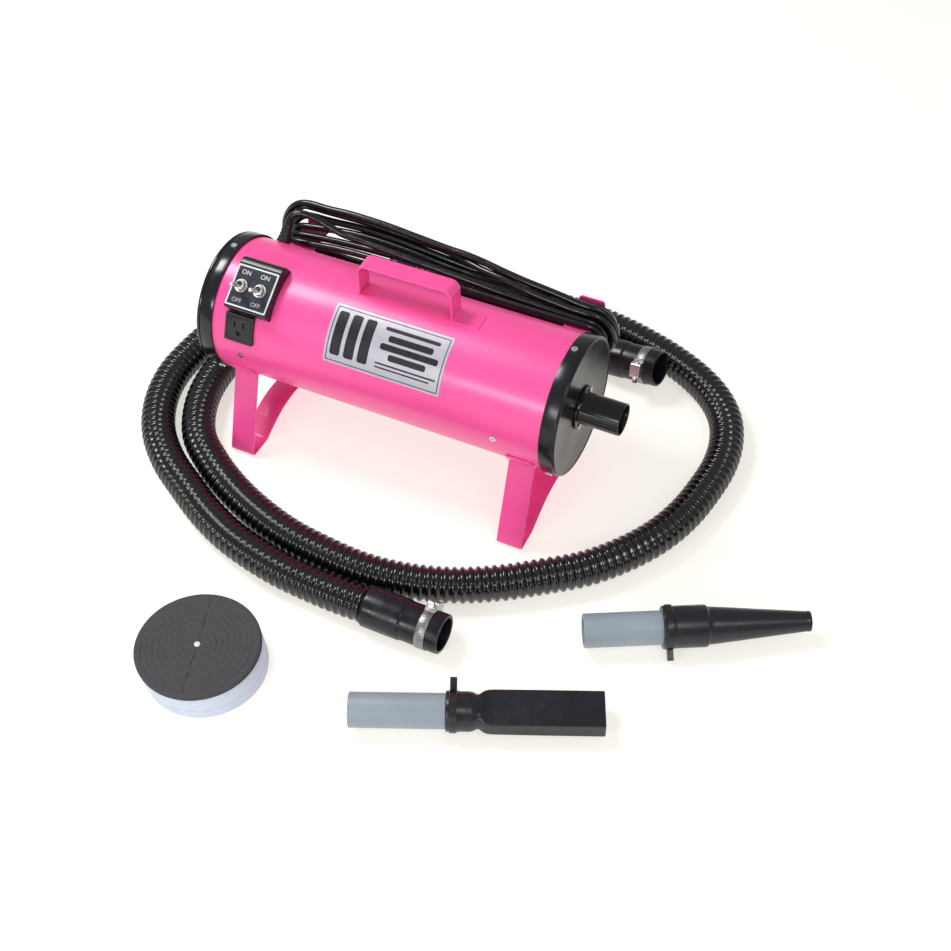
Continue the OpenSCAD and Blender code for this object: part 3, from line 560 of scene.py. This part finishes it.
def make_clamp(end, m, turn):
    """A steel band with its worm housing, its slots drawn as thin dark marks of painted shade; the worm
    itself is a part of its own.
    """
    m = m @ Matrix.Rotation(math.radians(turn), 4, "X") @ Matrix.Translation((CLAMP_AT, 0, 0))
    band = revolve(f"clamp_band_{end}", [
        (CLAMP_R + 0.06, 0.2), (CLAMP_R + 0.5, 0), (CLAMP_R + 1.0, 0.0), (CLAMP_R + 1.2, 0.3),
        (CLAMP_R + 1.2, CLAMP_W - 0.3), (CLAMP_R + 1.0, CLAMP_W), (CLAMP_R + 0.5, CLAMP_W),
        (CLAMP_R + 0.06, CLAMP_W - 0.2)], MATERIAL["band"], sides=96,
        body="hose_assembly", m=m @ AXIAL, slot="clamp_steel", stands_for=(f"clamp_{end}",))
    outline = loop([(-12.5, CLAMP_R - 1.6), (12.5, CLAMP_R - 1.6), (9.6, CLAMP_R + 10), (-9.6, CLAMP_R + 10)],
                   [0.5, 0.5, 4.5, 4.5])
    housing = prism(f"clamp_housing_{end}", outline, -1, CLAMP_W + 1, MATERIAL["brushed"],
                    body="hose_assembly", m=m @ YZX, bevel=0.7, segments=3, slot="clamp_steel")
    saddle = prism(f"clamp_saddle_{end}", loop([(-15, CLAMP_R - 3), (15, CLAMP_R - 3), (14, CLAMP_R + 0.6),
        (-14, CLAMP_R + 0.6)], 0.4),
                   -0.4, CLAMP_W + 0.4, MATERIAL["brushed"], body="hose_assembly", m=m @ YZX, bevel=0.4,
                   slot="clamp_steel")
    # The slots are thin dark marks on the band's face, painted shade where the holes would be.
    slots, faces = [], []
    for k in range(SLOT_COUNT):
        a = math.radians(SLOTS_FROM + SLOTS_SPAN * k / (SLOT_COUNT - 1))
        for r in (CLAMP_R + 1.12, CLAMP_R + 1.24):
            for x, shift in ((SLOT_LOW, SLOT_AT + SLOT_SLANT), (SLOT_HIGH, SLOT_AT)):
                for half in (-SLOT_HALF, SLOT_HALF):
                    b = a + shift + half
                    slots.append((x, r * math.sin(b), r * math.cos(b)))
        n = 8 * k
        faces += [tuple(n + v for v in q) for q in ((0, 1, 3, 2), (4, 6, 7, 5), (0, 4, 5, 1), (2, 3, 7, 6),
            (0, 2, 6, 4), (1, 5, 7, 3))]
    thread = piece(f"clamp_slot_shade_{end}", slots, faces, MATERIAL["slot_painted_shade"], body="hose_assembly", m=m,
                   slot="clamp_steel")
    return [band, housing, saddle, thread, nodes[f"worm_{end}"]]


# an outline in local YZ, drawn along X
YZX = Matrix(((0, 0, 1, 0), (1, 0, 0, 0), (0, 1, 0, 0), (0, 0, 0, 1)))
hose, hose_path = make_hose()
hose_pieces = [make_cuff("cuff_front", FRONT_CUFF), make_cuff("cuff_rear", REAR_CUFF),
               *make_clamp("front", FRONT_CUFF, -48), *make_clamp("rear", REAR_CUFF, 66)]
tuple(metres((92, -289, CUFF_Z)))
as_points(along(hose_path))

# ---------- body ----------


def turned_away(x):
    """Like along_x, but local +Z runs towards -X."""
    return Matrix.Translation((x, 0, AXIS_Z)) @ Matrix.Rotation(-math.pi / 2, 4, "Y")


revolve("shell", [(BODY_R, 0), (BODY_R, 492), (BODY_R - 1.2, 492), (BODY_R - 1.2, 0)], MATERIAL["paint_pink"],
        sides=256, m=along_x(-246), slot="paint_pink", stands_for=("body_shell",))
revolve("cap_intake", [
    (89.1, 0), (91.2, 0), (91.65, 0.15), (91.8, 0.6), (91.8, 16.4), (91.6, 17.0), (91.0, 17.3), (90.0, 17.5),
    (89.7, 18.0), (90.0, 18.5), (90.7, 18.9), (91.0, 19.6), (91.0, 21.2), (90.5, 22.5), (89.4, 23.5),
    (87.8, 24), (63, 24), (62.3, 23.7), (62, 23), (62, 22), (89.1, 22)],
    MATERIAL["cap_black"], sides=256, m=turned_away(-SHELL_END), slot="cap_black", stands_for=("intake_cap",),
    flat=30)
revolve("cap_outlet", [
    (89.1, 0), (91.2, 0), (91.65, 0.15), (91.8, 0.6), (91.8, 17.6), (91.6, 18.8), (91.0, 20.0), (90.0, 20.8),
    (89.0, 21), (88.2, 20.8), (87.4, 20.2), (86.6, 20.1), (21.2, 20.1), (21.2, 19), (89.1, 19)],
    MATERIAL["face_black"], sides=256, m=along_x(SHELL_END), slot="cap_black", stands_for=("outlet_cap",),
    flat=30)
revolve("outlet_pipe", [
    (19.1, -6), (19.1, 54.0), (19.4, 54.8), (20.0, 55), (20.5, 54.9), (21.0, 54.4), (21.1, 53.6), (21.1, 4.0),
    (21.6, 2.6), (22.6, 2.1), (28.4, 2.0), (28.9, 1.6), (29, 1.0), (29, -0.4), (21.1, -0.4), (21.1, -6)],
    MATERIAL["tube_black"], sides=128, m=along_x(SHELL_END + 21), slot="tube_black",
    stands_for=("outlet_tube",), flat=30)


# ---------- legs, handle and hooks ----------

STRIP_T = 2.5
BAND_R = BODY_R + 0.05 + STRIP_T / 2


def on_band(angle, radius=BAND_R):
    """A point of a strap that lies on the body, in the YZ plane."""
    return (-radius * math.cos(math.radians(angle)), AXIS_Z + radius * math.sin(math.radians(angle)))


def sheet_strap(name, path, half_widths, place, stands_for, thickness=STRIP_T, columns=(-1, 1), bevel=0.55,
                **options):
    """A painted strip along a flat path, its half width given at each point.

    place maps (along, up, across, index) to 3D.
    """
    path = [np.array(p, float) for p in path]
    ring = 2 * len(columns)
    verts = []
    for i, (p, half) in enumerate(zip(path, half_widths)):
        a, b = path[max(i - 1, 0)], path[min(i + 1, len(path) - 1)]
        d = (b - a) / np.linalg.norm(b - a)
        n = np.array([-d[1], d[0]]) * thickness / 2
        verts += [place(*(p + n), c * half, i) for c in columns] + [place(*(p - n), c * half, i)
            for c in reversed(columns)]
    last = (len(path) - 1) * ring
    faces = grid_faces(len(path), ring, close_columns=True) + [tuple(range(ring)),
        tuple(last + k for k in range(ring - 1, -1, -1))]
    return piece(name, verts, faces, MATERIAL["paint_pink"], bevel=bevel, segments=3, slot="paint_pink",
                 stands_for=stands_for, flat=28, **options)


def make_leg(side, x):
    arc_down = [on_band(a) for a in range(-25, -37, -2)]
    front = arc_down + [(-69, 121.5), (-112.5, 1.25), (-75, 1.25), (-47, 13.5), (-26, 20), (-8, 22)]
    radii = [0] * len(arc_down) + [4, 5, 14, 40, 60, 60]
    path = fillet(front + [(-y, z) for y, z in reversed(front)], radii + radii[::-1], 7)
    leg = sheet_strap(f"leg_strap_{side}", path, [17.5] * len(path), lambda y, z, c, i: (x + c, y, z),
                      (f"leg_{side}",))
    slots = []
    for end, angle in (("front", -30), ("back", 210)):
        slots.append(prism(f"slot_{side}_{end}", rectangle(3, 7, 1.2), 80, 100, MATERIAL["paint_pink"],
                           m=on_body(angle, x + 12.5)))
    cut(leg, *slots)
    mod = leg.modifiers.new("edge", "BEVEL")
    mod.width, mod.segments, mod.limit_method, mod.angle_limit = 0.5 * MM, 2, "ANGLE", math.radians(50)


def make_handle():
    low, high = AXIS_Z + BODY_R + STRIP_T / 2, AXIS_Z + BODY_R + 45
    corners = [(-48, low), (-48, high), (81, high), (81, low)]
    steps = [(-84 + 3.6 * k, low) for k in range(8)]
    path = fillet(steps + corners + [(117 - 3.6 * k, low) for k in range(7, -1, -1)],
                  [0] * 8 + [8, 10, 10, 8] + [0] * 8, 9)

    def place(x, z, y, i):
        sag = BODY_R - math.sqrt(BODY_R**2 - y * y)
        near = max(0.0, min(1.0, (AXIS_Z + BODY_R + 6 - z) / 3))
        return (x, y, z - (sag + 1.3) * near)

    sheet_strap("handle_strap", path, [12.7] * len(path), place, ("handle",),
                columns=(-1, -0.6, -0.2, 0.2, 0.6, 1))


def make_hook(side, x):
    arc_up = [on_band(a) for a in range(172, 155, -2)]
    end_y, base_z, tip_z, corner, half = 137.5, 219.0, 231.0, 5, 18.0
    tip = [(end_y, tip_z - corner + corner * math.sin(math.radians(a))) for a in (0, 20, 40, 60, 75, 90)]

    def half_width(y, z):
        rise = z - tip_z + corner
        if y <= end_y - 0.01 or rise <= 0:
            return half
        return half - (corner - corner * math.sqrt(max(0.0, 1 - (rise / corner) ** 2)))

    path = fillet(arc_up + [(80.5, base_z), (end_y, base_z)] + tip, [0] * len(arc_up) + [2.5, 5] + [0] * 6, 6)
    widths = [half_width(y, z) for y, z in path]
    widths[-1] = 13.4
    sheet_strap(f"hook_strap_{side}", path, widths, lambda y, z, c, i: (x + c, y, z), (f"hook_{side}",))


for side, sign in (("left", -1), ("right", 1)):
    make_leg(side, 202.5 * sign)
    make_hook(side, -196 if sign < 0 else 208)
make_handle()


# ---------- switches, socket and label ----------

BOX_ANGLE, BOX_X = 56.0, -180.0
PLATE_N = 103.0
PLATE_W, PLATE_H = 60.0, 56.0
SWITCH_X = (-195.25, -167.75)
BOX = on_body(BOX_ANGLE, BOX_X)


def lettering(name, word, size, cx, cy, lift, material, m, body="dryer"):
    """Flat generic lettering that lies on a plane of local XY."""
    curve = bpy.data.curves.new(name, "FONT")
    curve.body = word
    curve.size = size
    curve.align_x = "CENTER"
    curve.align_y = "CENTER"
    curve.extrude = 0.06
    thing = bpy.data.objects.new(name, curve)
    bpy.context.scene.collection.objects.link(thing)
    mesh = bpy.data.meshes.new_from_object(thing.evaluated_get(bpy.context.evaluated_depsgraph_get()))
    verts = [(v.co.x + cx, v.co.y + cy, v.co.z + lift) for v in mesh.vertices]
    faces = [tuple(p.vertices) for p in mesh.polygons]
    bpy.data.objects.remove(thing)
    return piece(name, verts, faces, material, body=body, m=m, slot="plate_dark")


def make_switches():
    side_outline = fillet([(-31, 74), (-31, 99), (-29, 102), (31, 102), (36, 100.4), (39.5, 97), (41, 92),
                           (41, 74)],
                          [0, 1.5, 1.5, 6, 6, 6, 6, 0], 4)
    prism("switch_housing", side_outline, -30.8, 30.8, MATERIAL["box_black"], m=BOX @ YZX, bevel=1.4,
          segments=4, slot="cap_black", stands_for=("switch_box",), flat=35)
    prism("switch_panel", rectangle(PLATE_W, PLATE_H, 1.2), PLATE_N - 1.2, PLATE_N, MATERIAL["panel"], m=BOX,
                  bevel=0.25, slot="plate_dark", stands_for=("switch_plate",))
    framed("switch_panel_border", rectangle(59.3, 55.3, 1.0), rectangle(55.1, 51.1, 0.8), PLATE_N - 0.1,
           PLATE_N + 0.12, MATERIAL["print_light"], m=BOX, slot="plate_dark")
    for side, x in zip(("left", "right"), SWITCH_X):
        at = on_body(BOX_ANGLE, x)
        lettering(f"on_{side}", "ON", 8.6, 0, 18.4, PLATE_N + 0.05, MATERIAL["print_light"], at)
        lettering(f"off_{side}", "OFF", 8.0, 0, -19.2, PLATE_N + 0.05, MATERIAL["print_grey"], at)
        thread = [p for k in range(6) for p in ((5.95, PLATE_N + 2.6 + 0.9 * k),
            (5.45, PLATE_N + 3.05 + 0.9 * k))]
        revolve(f"bushing_{side}", [(4.5, PLATE_N), (5.95, PLATE_N), *thread, (5.4, PLATE_N + 8.6),
                                    (5.0, PLATE_N + 8.9), (4.5, PLATE_N + 8.7)],
                MATERIAL["lever"], sides=48, m=at, slot="nut_steel", flat=60)
        nut(f"ring_nut_{side}", at)
        lever = at @ Matrix.Translation((0, 0, 100)) @ Matrix.Rotation(math.radians(11), 4, "X")
        knob = [(2.9 * math.cos(a), 29 + 2.9 * math.sin(a)) for a in [math.radians(9 * k) for k in range(11)]]
        ball = [(3.6 * math.cos(a), 3.6 * math.sin(a)) for a in [math.radians(-90 + 15 * k)
            for k in range(10)]]
        revolve(f"lever_{side}", [*ball, (2.0, 3.6), (1.9, 6), *knob], MATERIAL["lever"], sides=48,
                closed=False, body=f"toggle_{side}_body", m=lever, slot="toggle_chrome",
                stands_for=(f"toggle_{side}",), flat=50)


def nut(name, m):
    """A round nut with a knurled rim."""
    sides = 96
    rows = [(5.95, 0.0), (8.6, 0.0), (9.0, 0.5), (9.0, 2.3), (8.5, 2.9), (6.6, 3.0), (5.95, 2.6)]
    verts = []
    for r, z in rows:
        for k in range(sides):
            rim = r - (0.35 if k % 4 < 2 and r > 8.7 else 0)
            a = 2 * math.pi * k / sides
            verts.append((rim * math.cos(a), rim * math.sin(a), PLATE_N + z))
    piece(name, verts, grid_faces(len(rows), sides, close_rows=True, close_columns=True), MATERIAL["lever"],
          m=m, slot="nut_steel", flat=40, stands_for=("switch_nuts",) if name.endswith("left") else ())


def make_socket():
    m = on_body(23, -191)
    face = 92.6
    block = prism("socket_block", rectangle(41.5, 38.5, 1.6), 78, face, MATERIAL["socket"], m=m, bevel=0.9,
                  segments=3, slot="socket_plastic", stands_for=("receptacle",))
    cutters = [prism(f"cut_blade_{k}", rectangle(2.1, 8, 0.3, cx=x, cy=5), face - 3.3, face + 5,
                     MATERIAL["socket"], m=m)
               for k, x in enumerate((-6.35, 6.35))]
    cutters.append(prism("cut_ground", loop([(-2.6, -9.8), (2.6, -9.8), (2.6, -4.2), (-2.6, -4.2)],
                                            [2.4, 2.4, 2.4, 2.4]), face - 3.3, face + 5,
                         MATERIAL["socket"], m=m))
    cutters.append(framed("cut_ring", rectangle(35.5, 31.5, 5.5), rectangle(34.3, 30.3, 5), face - 0.7,
                          face + 2, MATERIAL["socket"], m=m))
    cut(block, *cutters)


def patch(name, x0, x1, low, high, r0, r1, material, corner=0.0, stands_for=()):
    """A thin plate bent round the body between two elevations; corners are rounded."""
    reach = (high - low) * math.pi / 180 * BODY_R
    rows = max(2, int(reach / 2.0)) + 1
    verts, faces = [], []
    for k in range(rows + 1):
        y = -reach / 2 + reach * k / rows
        inset = 0.0
        edge = min(y + reach / 2, reach / 2 - y)
        if corner and edge < corner:
            inset = corner - math.sqrt(max(0.0, corner**2 - (corner - edge) ** 2))
        elevation = math.radians((low + high) / 2) + y / BODY_R
        for r in (r0, r1):
            for x in (x0 + inset, x1 - inset):
                verts.append((x, -r * math.cos(elevation), AXIS_Z + r * math.sin(elevation)))
    for k in range(rows):
        a, b = 4 * k, 4 * (k + 1)
        faces += [(a + 2, a + 3, b + 3, b + 2), (a, b, b + 1, a + 1), (a, a + 2, b + 2, b),
                  (a + 1, b + 1, b + 3, a + 3)]
    faces += [(0, 1, 3, 2), (4 * rows, 4 * rows + 2, 4 * rows + 3, 4 * rows + 1)]
    return piece(name, verts, faces, material, slot="label_silver", stands_for=stands_for, flat=30)


def make_label():
    plate_r = BODY_R + 0.55
    left, right, foot, head = -68, 96, 19, 68.5
    patch("label_plate", left, right, foot, head, BODY_R - 0.3, plate_r, MATERIAL["label"], corner=1.2,
          stands_for=("label",))

    def ink(name, x0, x1, low, high, corner=0.0):
        patch(f"label_{name}", x0, x1, low, high, plate_r - 0.1, plate_r + 0.1, MATERIAL["ink"],
              corner=corner)

    edge, line = 3.2, 1.1
    step, thin = math.degrees(edge / BODY_R), math.degrees(line / BODY_R)
    ink("border_top", left + edge, right - edge, head - step - thin, head - step)
    ink("border_bottom", left + edge, right - edge, foot + step, foot + step + thin)
    ink("border_left", left + edge, left + edge + line, foot + step, head - step)
    ink("border_right", right - edge - line, right - edge, foot + step, head - step)
    for k in range(3):
        ink(f"block_{k}", -60 + 19.5 * k, -46 + 19.5 * k, 26.5, 63, 2)
    ink("bar_top", 6, 82, 58.5, 61.5, 1.5)
    ink("bar_one", 14, 76, 50, 55.2, 2)
    ink("bar_two", 6, 86, 42.6, 47.8, 2)
    ink("bar_three", 20, 72, 35.2, 40.4, 2)
    ink("line_one", 4, 88, 30.4, 31.8, 0.6)
    ink("line_two", 4, 80, 27.2, 28.4, 0.5)


make_switches()
make_socket()
make_label()


# ---------- nozzles ----------

SPIGOT_R = 21.1
SLOT_NOZZLE = lying((144.2, -433, 28), 24.3, -1)
CONE_NOZZLE = lying((349.7, -214.5, 28.5), 28, -0.4)
SLOT_SPIGOT_L, SLOT_L = 114.0, 300.0
CONE_SPIGOT_L = 96.0


def make_spigot(kind, m, length):
    wall = 3.5
    revolve(f"{kind}_spigot", [
        (SPIGOT_R - wall, 0.5), (SPIGOT_R - wall + 0.4, 0.1), (SPIGOT_R - 0.5, 0), (SPIGOT_R - 0.1, 0.3),
        (SPIGOT_R, 0.8), (SPIGOT_R, length + 29), (SPIGOT_R - wall, length + 29)], MATERIAL["grey_tube"],
        sides=128, body=f"{kind}_nozzle", m=m @ AXIAL, slot="tube_grey", stands_for=(f"{kind}_tube",),
        flat=30)


def section(half_w, half_h, power, count=96):
    """A ring between an ellipse (power 2) and a rectangle (high power), in local YZ."""
    points = []
    for k in range(count):
        a = 2 * math.pi * (k + 0.5) / count
        c, s = math.cos(a), math.sin(a)
        reach = (abs(c) ** power + abs(s) ** power) ** (-1 / power)
        points.append((half_w * c * reach, half_h * s * reach))
    return points


def make_slot_tip():
    s = SLOT_SPIGOT_L
    outside = [
        (s - 0.2, 22.9, 22.9, 2), (s + 0.3, 23.6, 23.6, 2), (s + 1.2, 24, 24, 2), (s + 15.5, 24, 24, 2),
        (s + 16.5, 23.5, 23.5, 2), (s + 26, 23.7, 23.5, 2), (s + 31, 23.2, 22.6, 2),
        (s + 34.5, 21.6, 20.6, 2.05), (s + 37, 20.2, 18.6, 2.2), (s + 39.5, 20.6, 16.6, 2.6),
        (s + 42, 22.6, 14.6, 3.4), (s + 45, 24.2, 12.8, 5), (s + 49, 24.9, 11.6, 9), (s + 56, 25, 11, 16),
        (s + 110, 25, 11, 22), (SLOT_L - 0.7, 25, 11, 22), (SLOT_L, 24.6, 10.6, 20)]
    inside = [(SLOT_L, 23.4, 9.4, 20), (SLOT_L - 0.7, 23, 9, 20), (s + 62, 23, 9, 16), (s + 44, 17, 12, 3.4),
              (s + 38, 16, 15, 2), (s + 30, 17.6, 17.6, 2), (s + 30, 21.2, 21.2, 2), (s - 0.2, 21.2, 21.2, 2)]
    rings = outside + inside
    verts = [(x, y, z) for x, w, h, p in rings for y, z in section(w, h, p)]
    faces = grid_faces(len(rings), 96, close_rows=True, close_columns=True)
    piece("slot_tip_moulding", verts, faces, MATERIAL["nozzle"], body="slot_nozzle", m=SLOT_NOZZLE,
          slot="nozzle_black", stands_for=("slot_tip",), flat=35)


def make_clip(kind, m, at, radius, width, turn, tab_high, tab_wide):
    """A thin band clip with a folded tab."""
    revolve(f"{kind}_clip_band", [(radius - 0.3, 0.3), (radius + 0.9, 0), (radius + 1.5, 0.5),
                                  (radius + 1.5, width - 0.5), (radius + 0.9, width),
                                  (radius - 0.3, width - 0.3)], MATERIAL["clip"], sides=96,
            body=f"{kind}_nozzle", m=m @ Matrix.Translation((at, 0, 0)) @ AXIAL, slot="clip_black",
            stands_for=(f"{kind}_clip",), flat=30)
    tab = m @ Matrix.Translation((at, 0, 0)) @ Matrix.Rotation(math.radians(turn), 4, "X")
    gap = tab_wide * 0.2
    for k, y in enumerate((-tab_wide / 2, gap / 2)):
        outline = loop([(y, radius - 1), (y + (tab_wide - gap) / 2, radius - 1),
                        (y + (tab_wide - gap) / 2, radius + tab_high), (y, radius + tab_high)],
                        [0.2, 0.2, 0.9, 0.9])
        prism(f"{kind}_clip_tab_{k}", outline, 0.6, width - 0.2, MATERIAL["clip"], body=f"{kind}_nozzle",
              m=tab @ YZX, bevel=0.35, slot="clip_black")


def make_cone_tip():
    s = CONE_SPIGOT_L
    revolve("cone_tip_moulding", [
        (22.0, 0), (25.4, 0), (26.3, 0.4), (26.6, 1.4), (26.6, 13.4), (26.2, 14.4), (26.0, 16), (26.1, 52.6),
        (25.7, 54.2), (24.6, 55.2), (23.8, 56.2), (23.3, 58.2), (23.0, 62), (12.7, 174), (12.5, 176.4),
        (12.7, 178), (12.7, 180.8), (12.3, 181.8), (11.6, 182), (10.8, 181.6), (10.4, 180.6), (10.4, 122),
        (17.6, 56), (17.6, 29), (21.2, 29), (21.2, 0.8)], MATERIAL["nozzle"], sides=128, body="cone_nozzle",
        m=CONE_NOZZLE @ Matrix.Translation((s, 0, 0)) @ AXIAL, slot="nozzle_black", stands_for=("cone_tip",),
        flat=30)


make_spigot("slot", SLOT_NOZZLE, SLOT_SPIGOT_L)
make_spigot("cone", CONE_NOZZLE, CONE_SPIGOT_L)
make_slot_tip()
make_cone_tip()
make_clip("slot", SLOT_NOZZLE, SLOT_SPIGOT_L + 4, 24.0, 9, -48, 16, 5)
make_clip("cone", CONE_NOZZLE, CONE_SPIGOT_L + 4, 26.6, 8, 123, 14, 8)


# ---------- filter ----------

FILTER = Matrix.Translation((-61.5, -438, 0))
FILTER_H = 36.0
FOAM_RINGS = (17, 24, 31.5, 39, 46.5, 54, 61, 68)
GROOVE_W = 0.9
FOAM_SIDES = 240
CREASE_ANGLE = 108
CREASE = {0: 1.5, 1: 0.5, FOAM_SIDES // 2 - 1: 0.5}  # its depth, by columns from the crease
FILTER_LEAN = ((0.0070, 0.0030), (-0.0032, 0.0058))  # how far its foot and its top lean over, in metres


def make_filter():
    side = revolve("filter_side", [
        (0, 0.1), (73.6, 0.1), (75.2, 0.6), (75.8, 2.2), (76.2, 8.6), (76.3, 11.4), (75.7, 12.0),
        (75.6, 12.5), (76.3, 13.1), (76.6, 15.4), (76.8, 22), (76.6, 27.6), (76.0, 29.4), (75.0, 30),
        (0, 30)], MATERIAL["filter_side"], sides=160, closed=False, body="filter",
        m=FILTER, slot="filter_white", stands_for=("filter_case",), flat=40)
    sides = FOAM_SIDES
    crease = round(CREASE_ANGLE / 360 * sides)
    edge = [(70, 30.05), (76.2, 30.1), (77.2, 31.0), (77.5, 32.6), (77.2, 34.4), (76.4, 35.4), (75.2, 35.8)]
    top = [(r, 35.9) for r in np.linspace(74.4, 4.2, 110)]
    verts = []
    for r, z in edge + top + [(3.9, 35.5), (3.9, 30.2)]:
        for k in range(sides):
            a = 2 * math.pi * k / sides
            p = Vector((r * math.cos(a), r * math.sin(a), z))
            lumps = noise.noise(p * 0.09) * 0.35 + noise.noise(p * 0.45) * 0.18 if z > 32 and r > 4 else 0.0
            if z > 35.85:
                ring = max(math.exp(-((r - at) / GROOVE_W) ** 2) for at in FOAM_RINGS)
                lumps -= ring * max(0.0, 0.45 + 0.5 * abs(math.cos(a - math.radians(20)))
                                    + noise.noise(p * 0.05)) * 0.8
                lumps -= CREASE.get((k - crease) % (sides // 2), 0.0) * (0.8 + noise.noise(p * 0.2))
            verts.append((p.x * (1 + 0.0006 * lumps), p.y * (1 + 0.0006 * lumps),
                          z + lumps * min(1, (77.6 - r) / 3 + 0.25)))
    foam = piece("filter_foam_pad", verts, grid_faces(len(verts) // sides, sides, close_rows=True,
        close_columns=True), MATERIAL["foam"],
                 body="filter", m=FILTER, slot="foam_grey", stands_for=("filter_foam",), flat=60)
    dome = [(3.8 * math.cos(math.radians(a)), 36.1 + 0.7 * math.sin(math.radians(a)))
            for a in range(0, 91, 15)]
    stud = revolve("filter_stud", [(0, 30.2), (3.4, 30.2), (3.7, 35.6), *dome[:-1], (0, 36.8)],
            MATERIAL["button"], sides=40, closed=False, body="filter", m=FILTER, slot="button_white",
            stands_for=("filter_button",), flat=50)
    for soft in (side, foam, stud):
        for vertex in soft.data.vertices:
            rise = vertex.co.z / (FILTER_H * MM)
            for axis in (0, 1):
                vertex.co[axis] += FILTER_LEAN[0][axis] * (1 - rise) + FILTER_LEAN[1][axis] * rise


make_filter()

# ---------- the CAD parts that stay ----------

for names, key in (
    (("outlet_screws", "cap_screws", "body_screws", "worm_front", "worm_rear"), "chrome"),
    (("intake_grille",), "cap_black"), (("switch_bodies",), "socket"),
    (("mount_rings", "bearings"), "brushed"), (("mount_gaskets",), "rubber"), (("motor_cans",), "aluminium"),
(("stators",), "iron"), (("rotor_intake", "rotor_outlet"), "copper"), ):
    for name in names:
        for material_slot in nodes[name].material_slots:
            material_slot.material = MATERIAL[key]


# ---------- floor and light ----------


def area(name, at, towards, size, power, color=(1, 1, 1)):
    light = bpy.data.lights.new(name, "AREA")
    light.shape = "RECTANGLE"
    light.size, light.size_y = size
    light.energy = power
    light.color = color
    thing = bpy.data.objects.new(name, light)
    bpy.context.scene.collection.objects.link(thing)
    thing.location = at
    thing.rotation_euler = (Vector(towards) - Vector(at)).to_track_quat("-Z", "Y").to_euler()


def make_studio():
    mesh = bpy.data.meshes.new("floor")
    mesh.from_pydata([(-8, -8, -0.0005), (8, -8, -0.0005), (8, 8, -0.0005), (-8, 8, -0.0005)], [],
                     [(0, 1, 2, 3)])
    floor = bpy.data.objects.new("floor", mesh)
    bpy.context.scene.collection.objects.link(floor)
    floor.data.materials.append(MATERIAL["floor"])
    world = bpy.data.worlds.new("studio")
    bpy.context.scene.world = world
    world.use_nodes = True
    world.node_tree.nodes["Background"].inputs["Color"].default_value = (1, 1, 1, 1)
    world.node_tree.nodes["Background"].inputs["Strength"].default_value = 0.42
    middle = (0.0, 0.1, 0.15)
    area("key", (-1.7, 0.2, 2.7), middle, (0.9, 0.9), 52)
    area("strip", (-0.65, -2.6, 1.5), middle, (1.1, 0.45), 24)
    area("fill", (1.6, -1.0, 2.6), middle, (0.8, 0.8), 15)
    area("low", (0.5, -2.3, 0.5), middle, (1.4, 0.3), 6)
    bpy.context.scene.view_settings.view_transform = "Standard"
    bpy.context.scene.view_settings.look = "None"


make_studio()
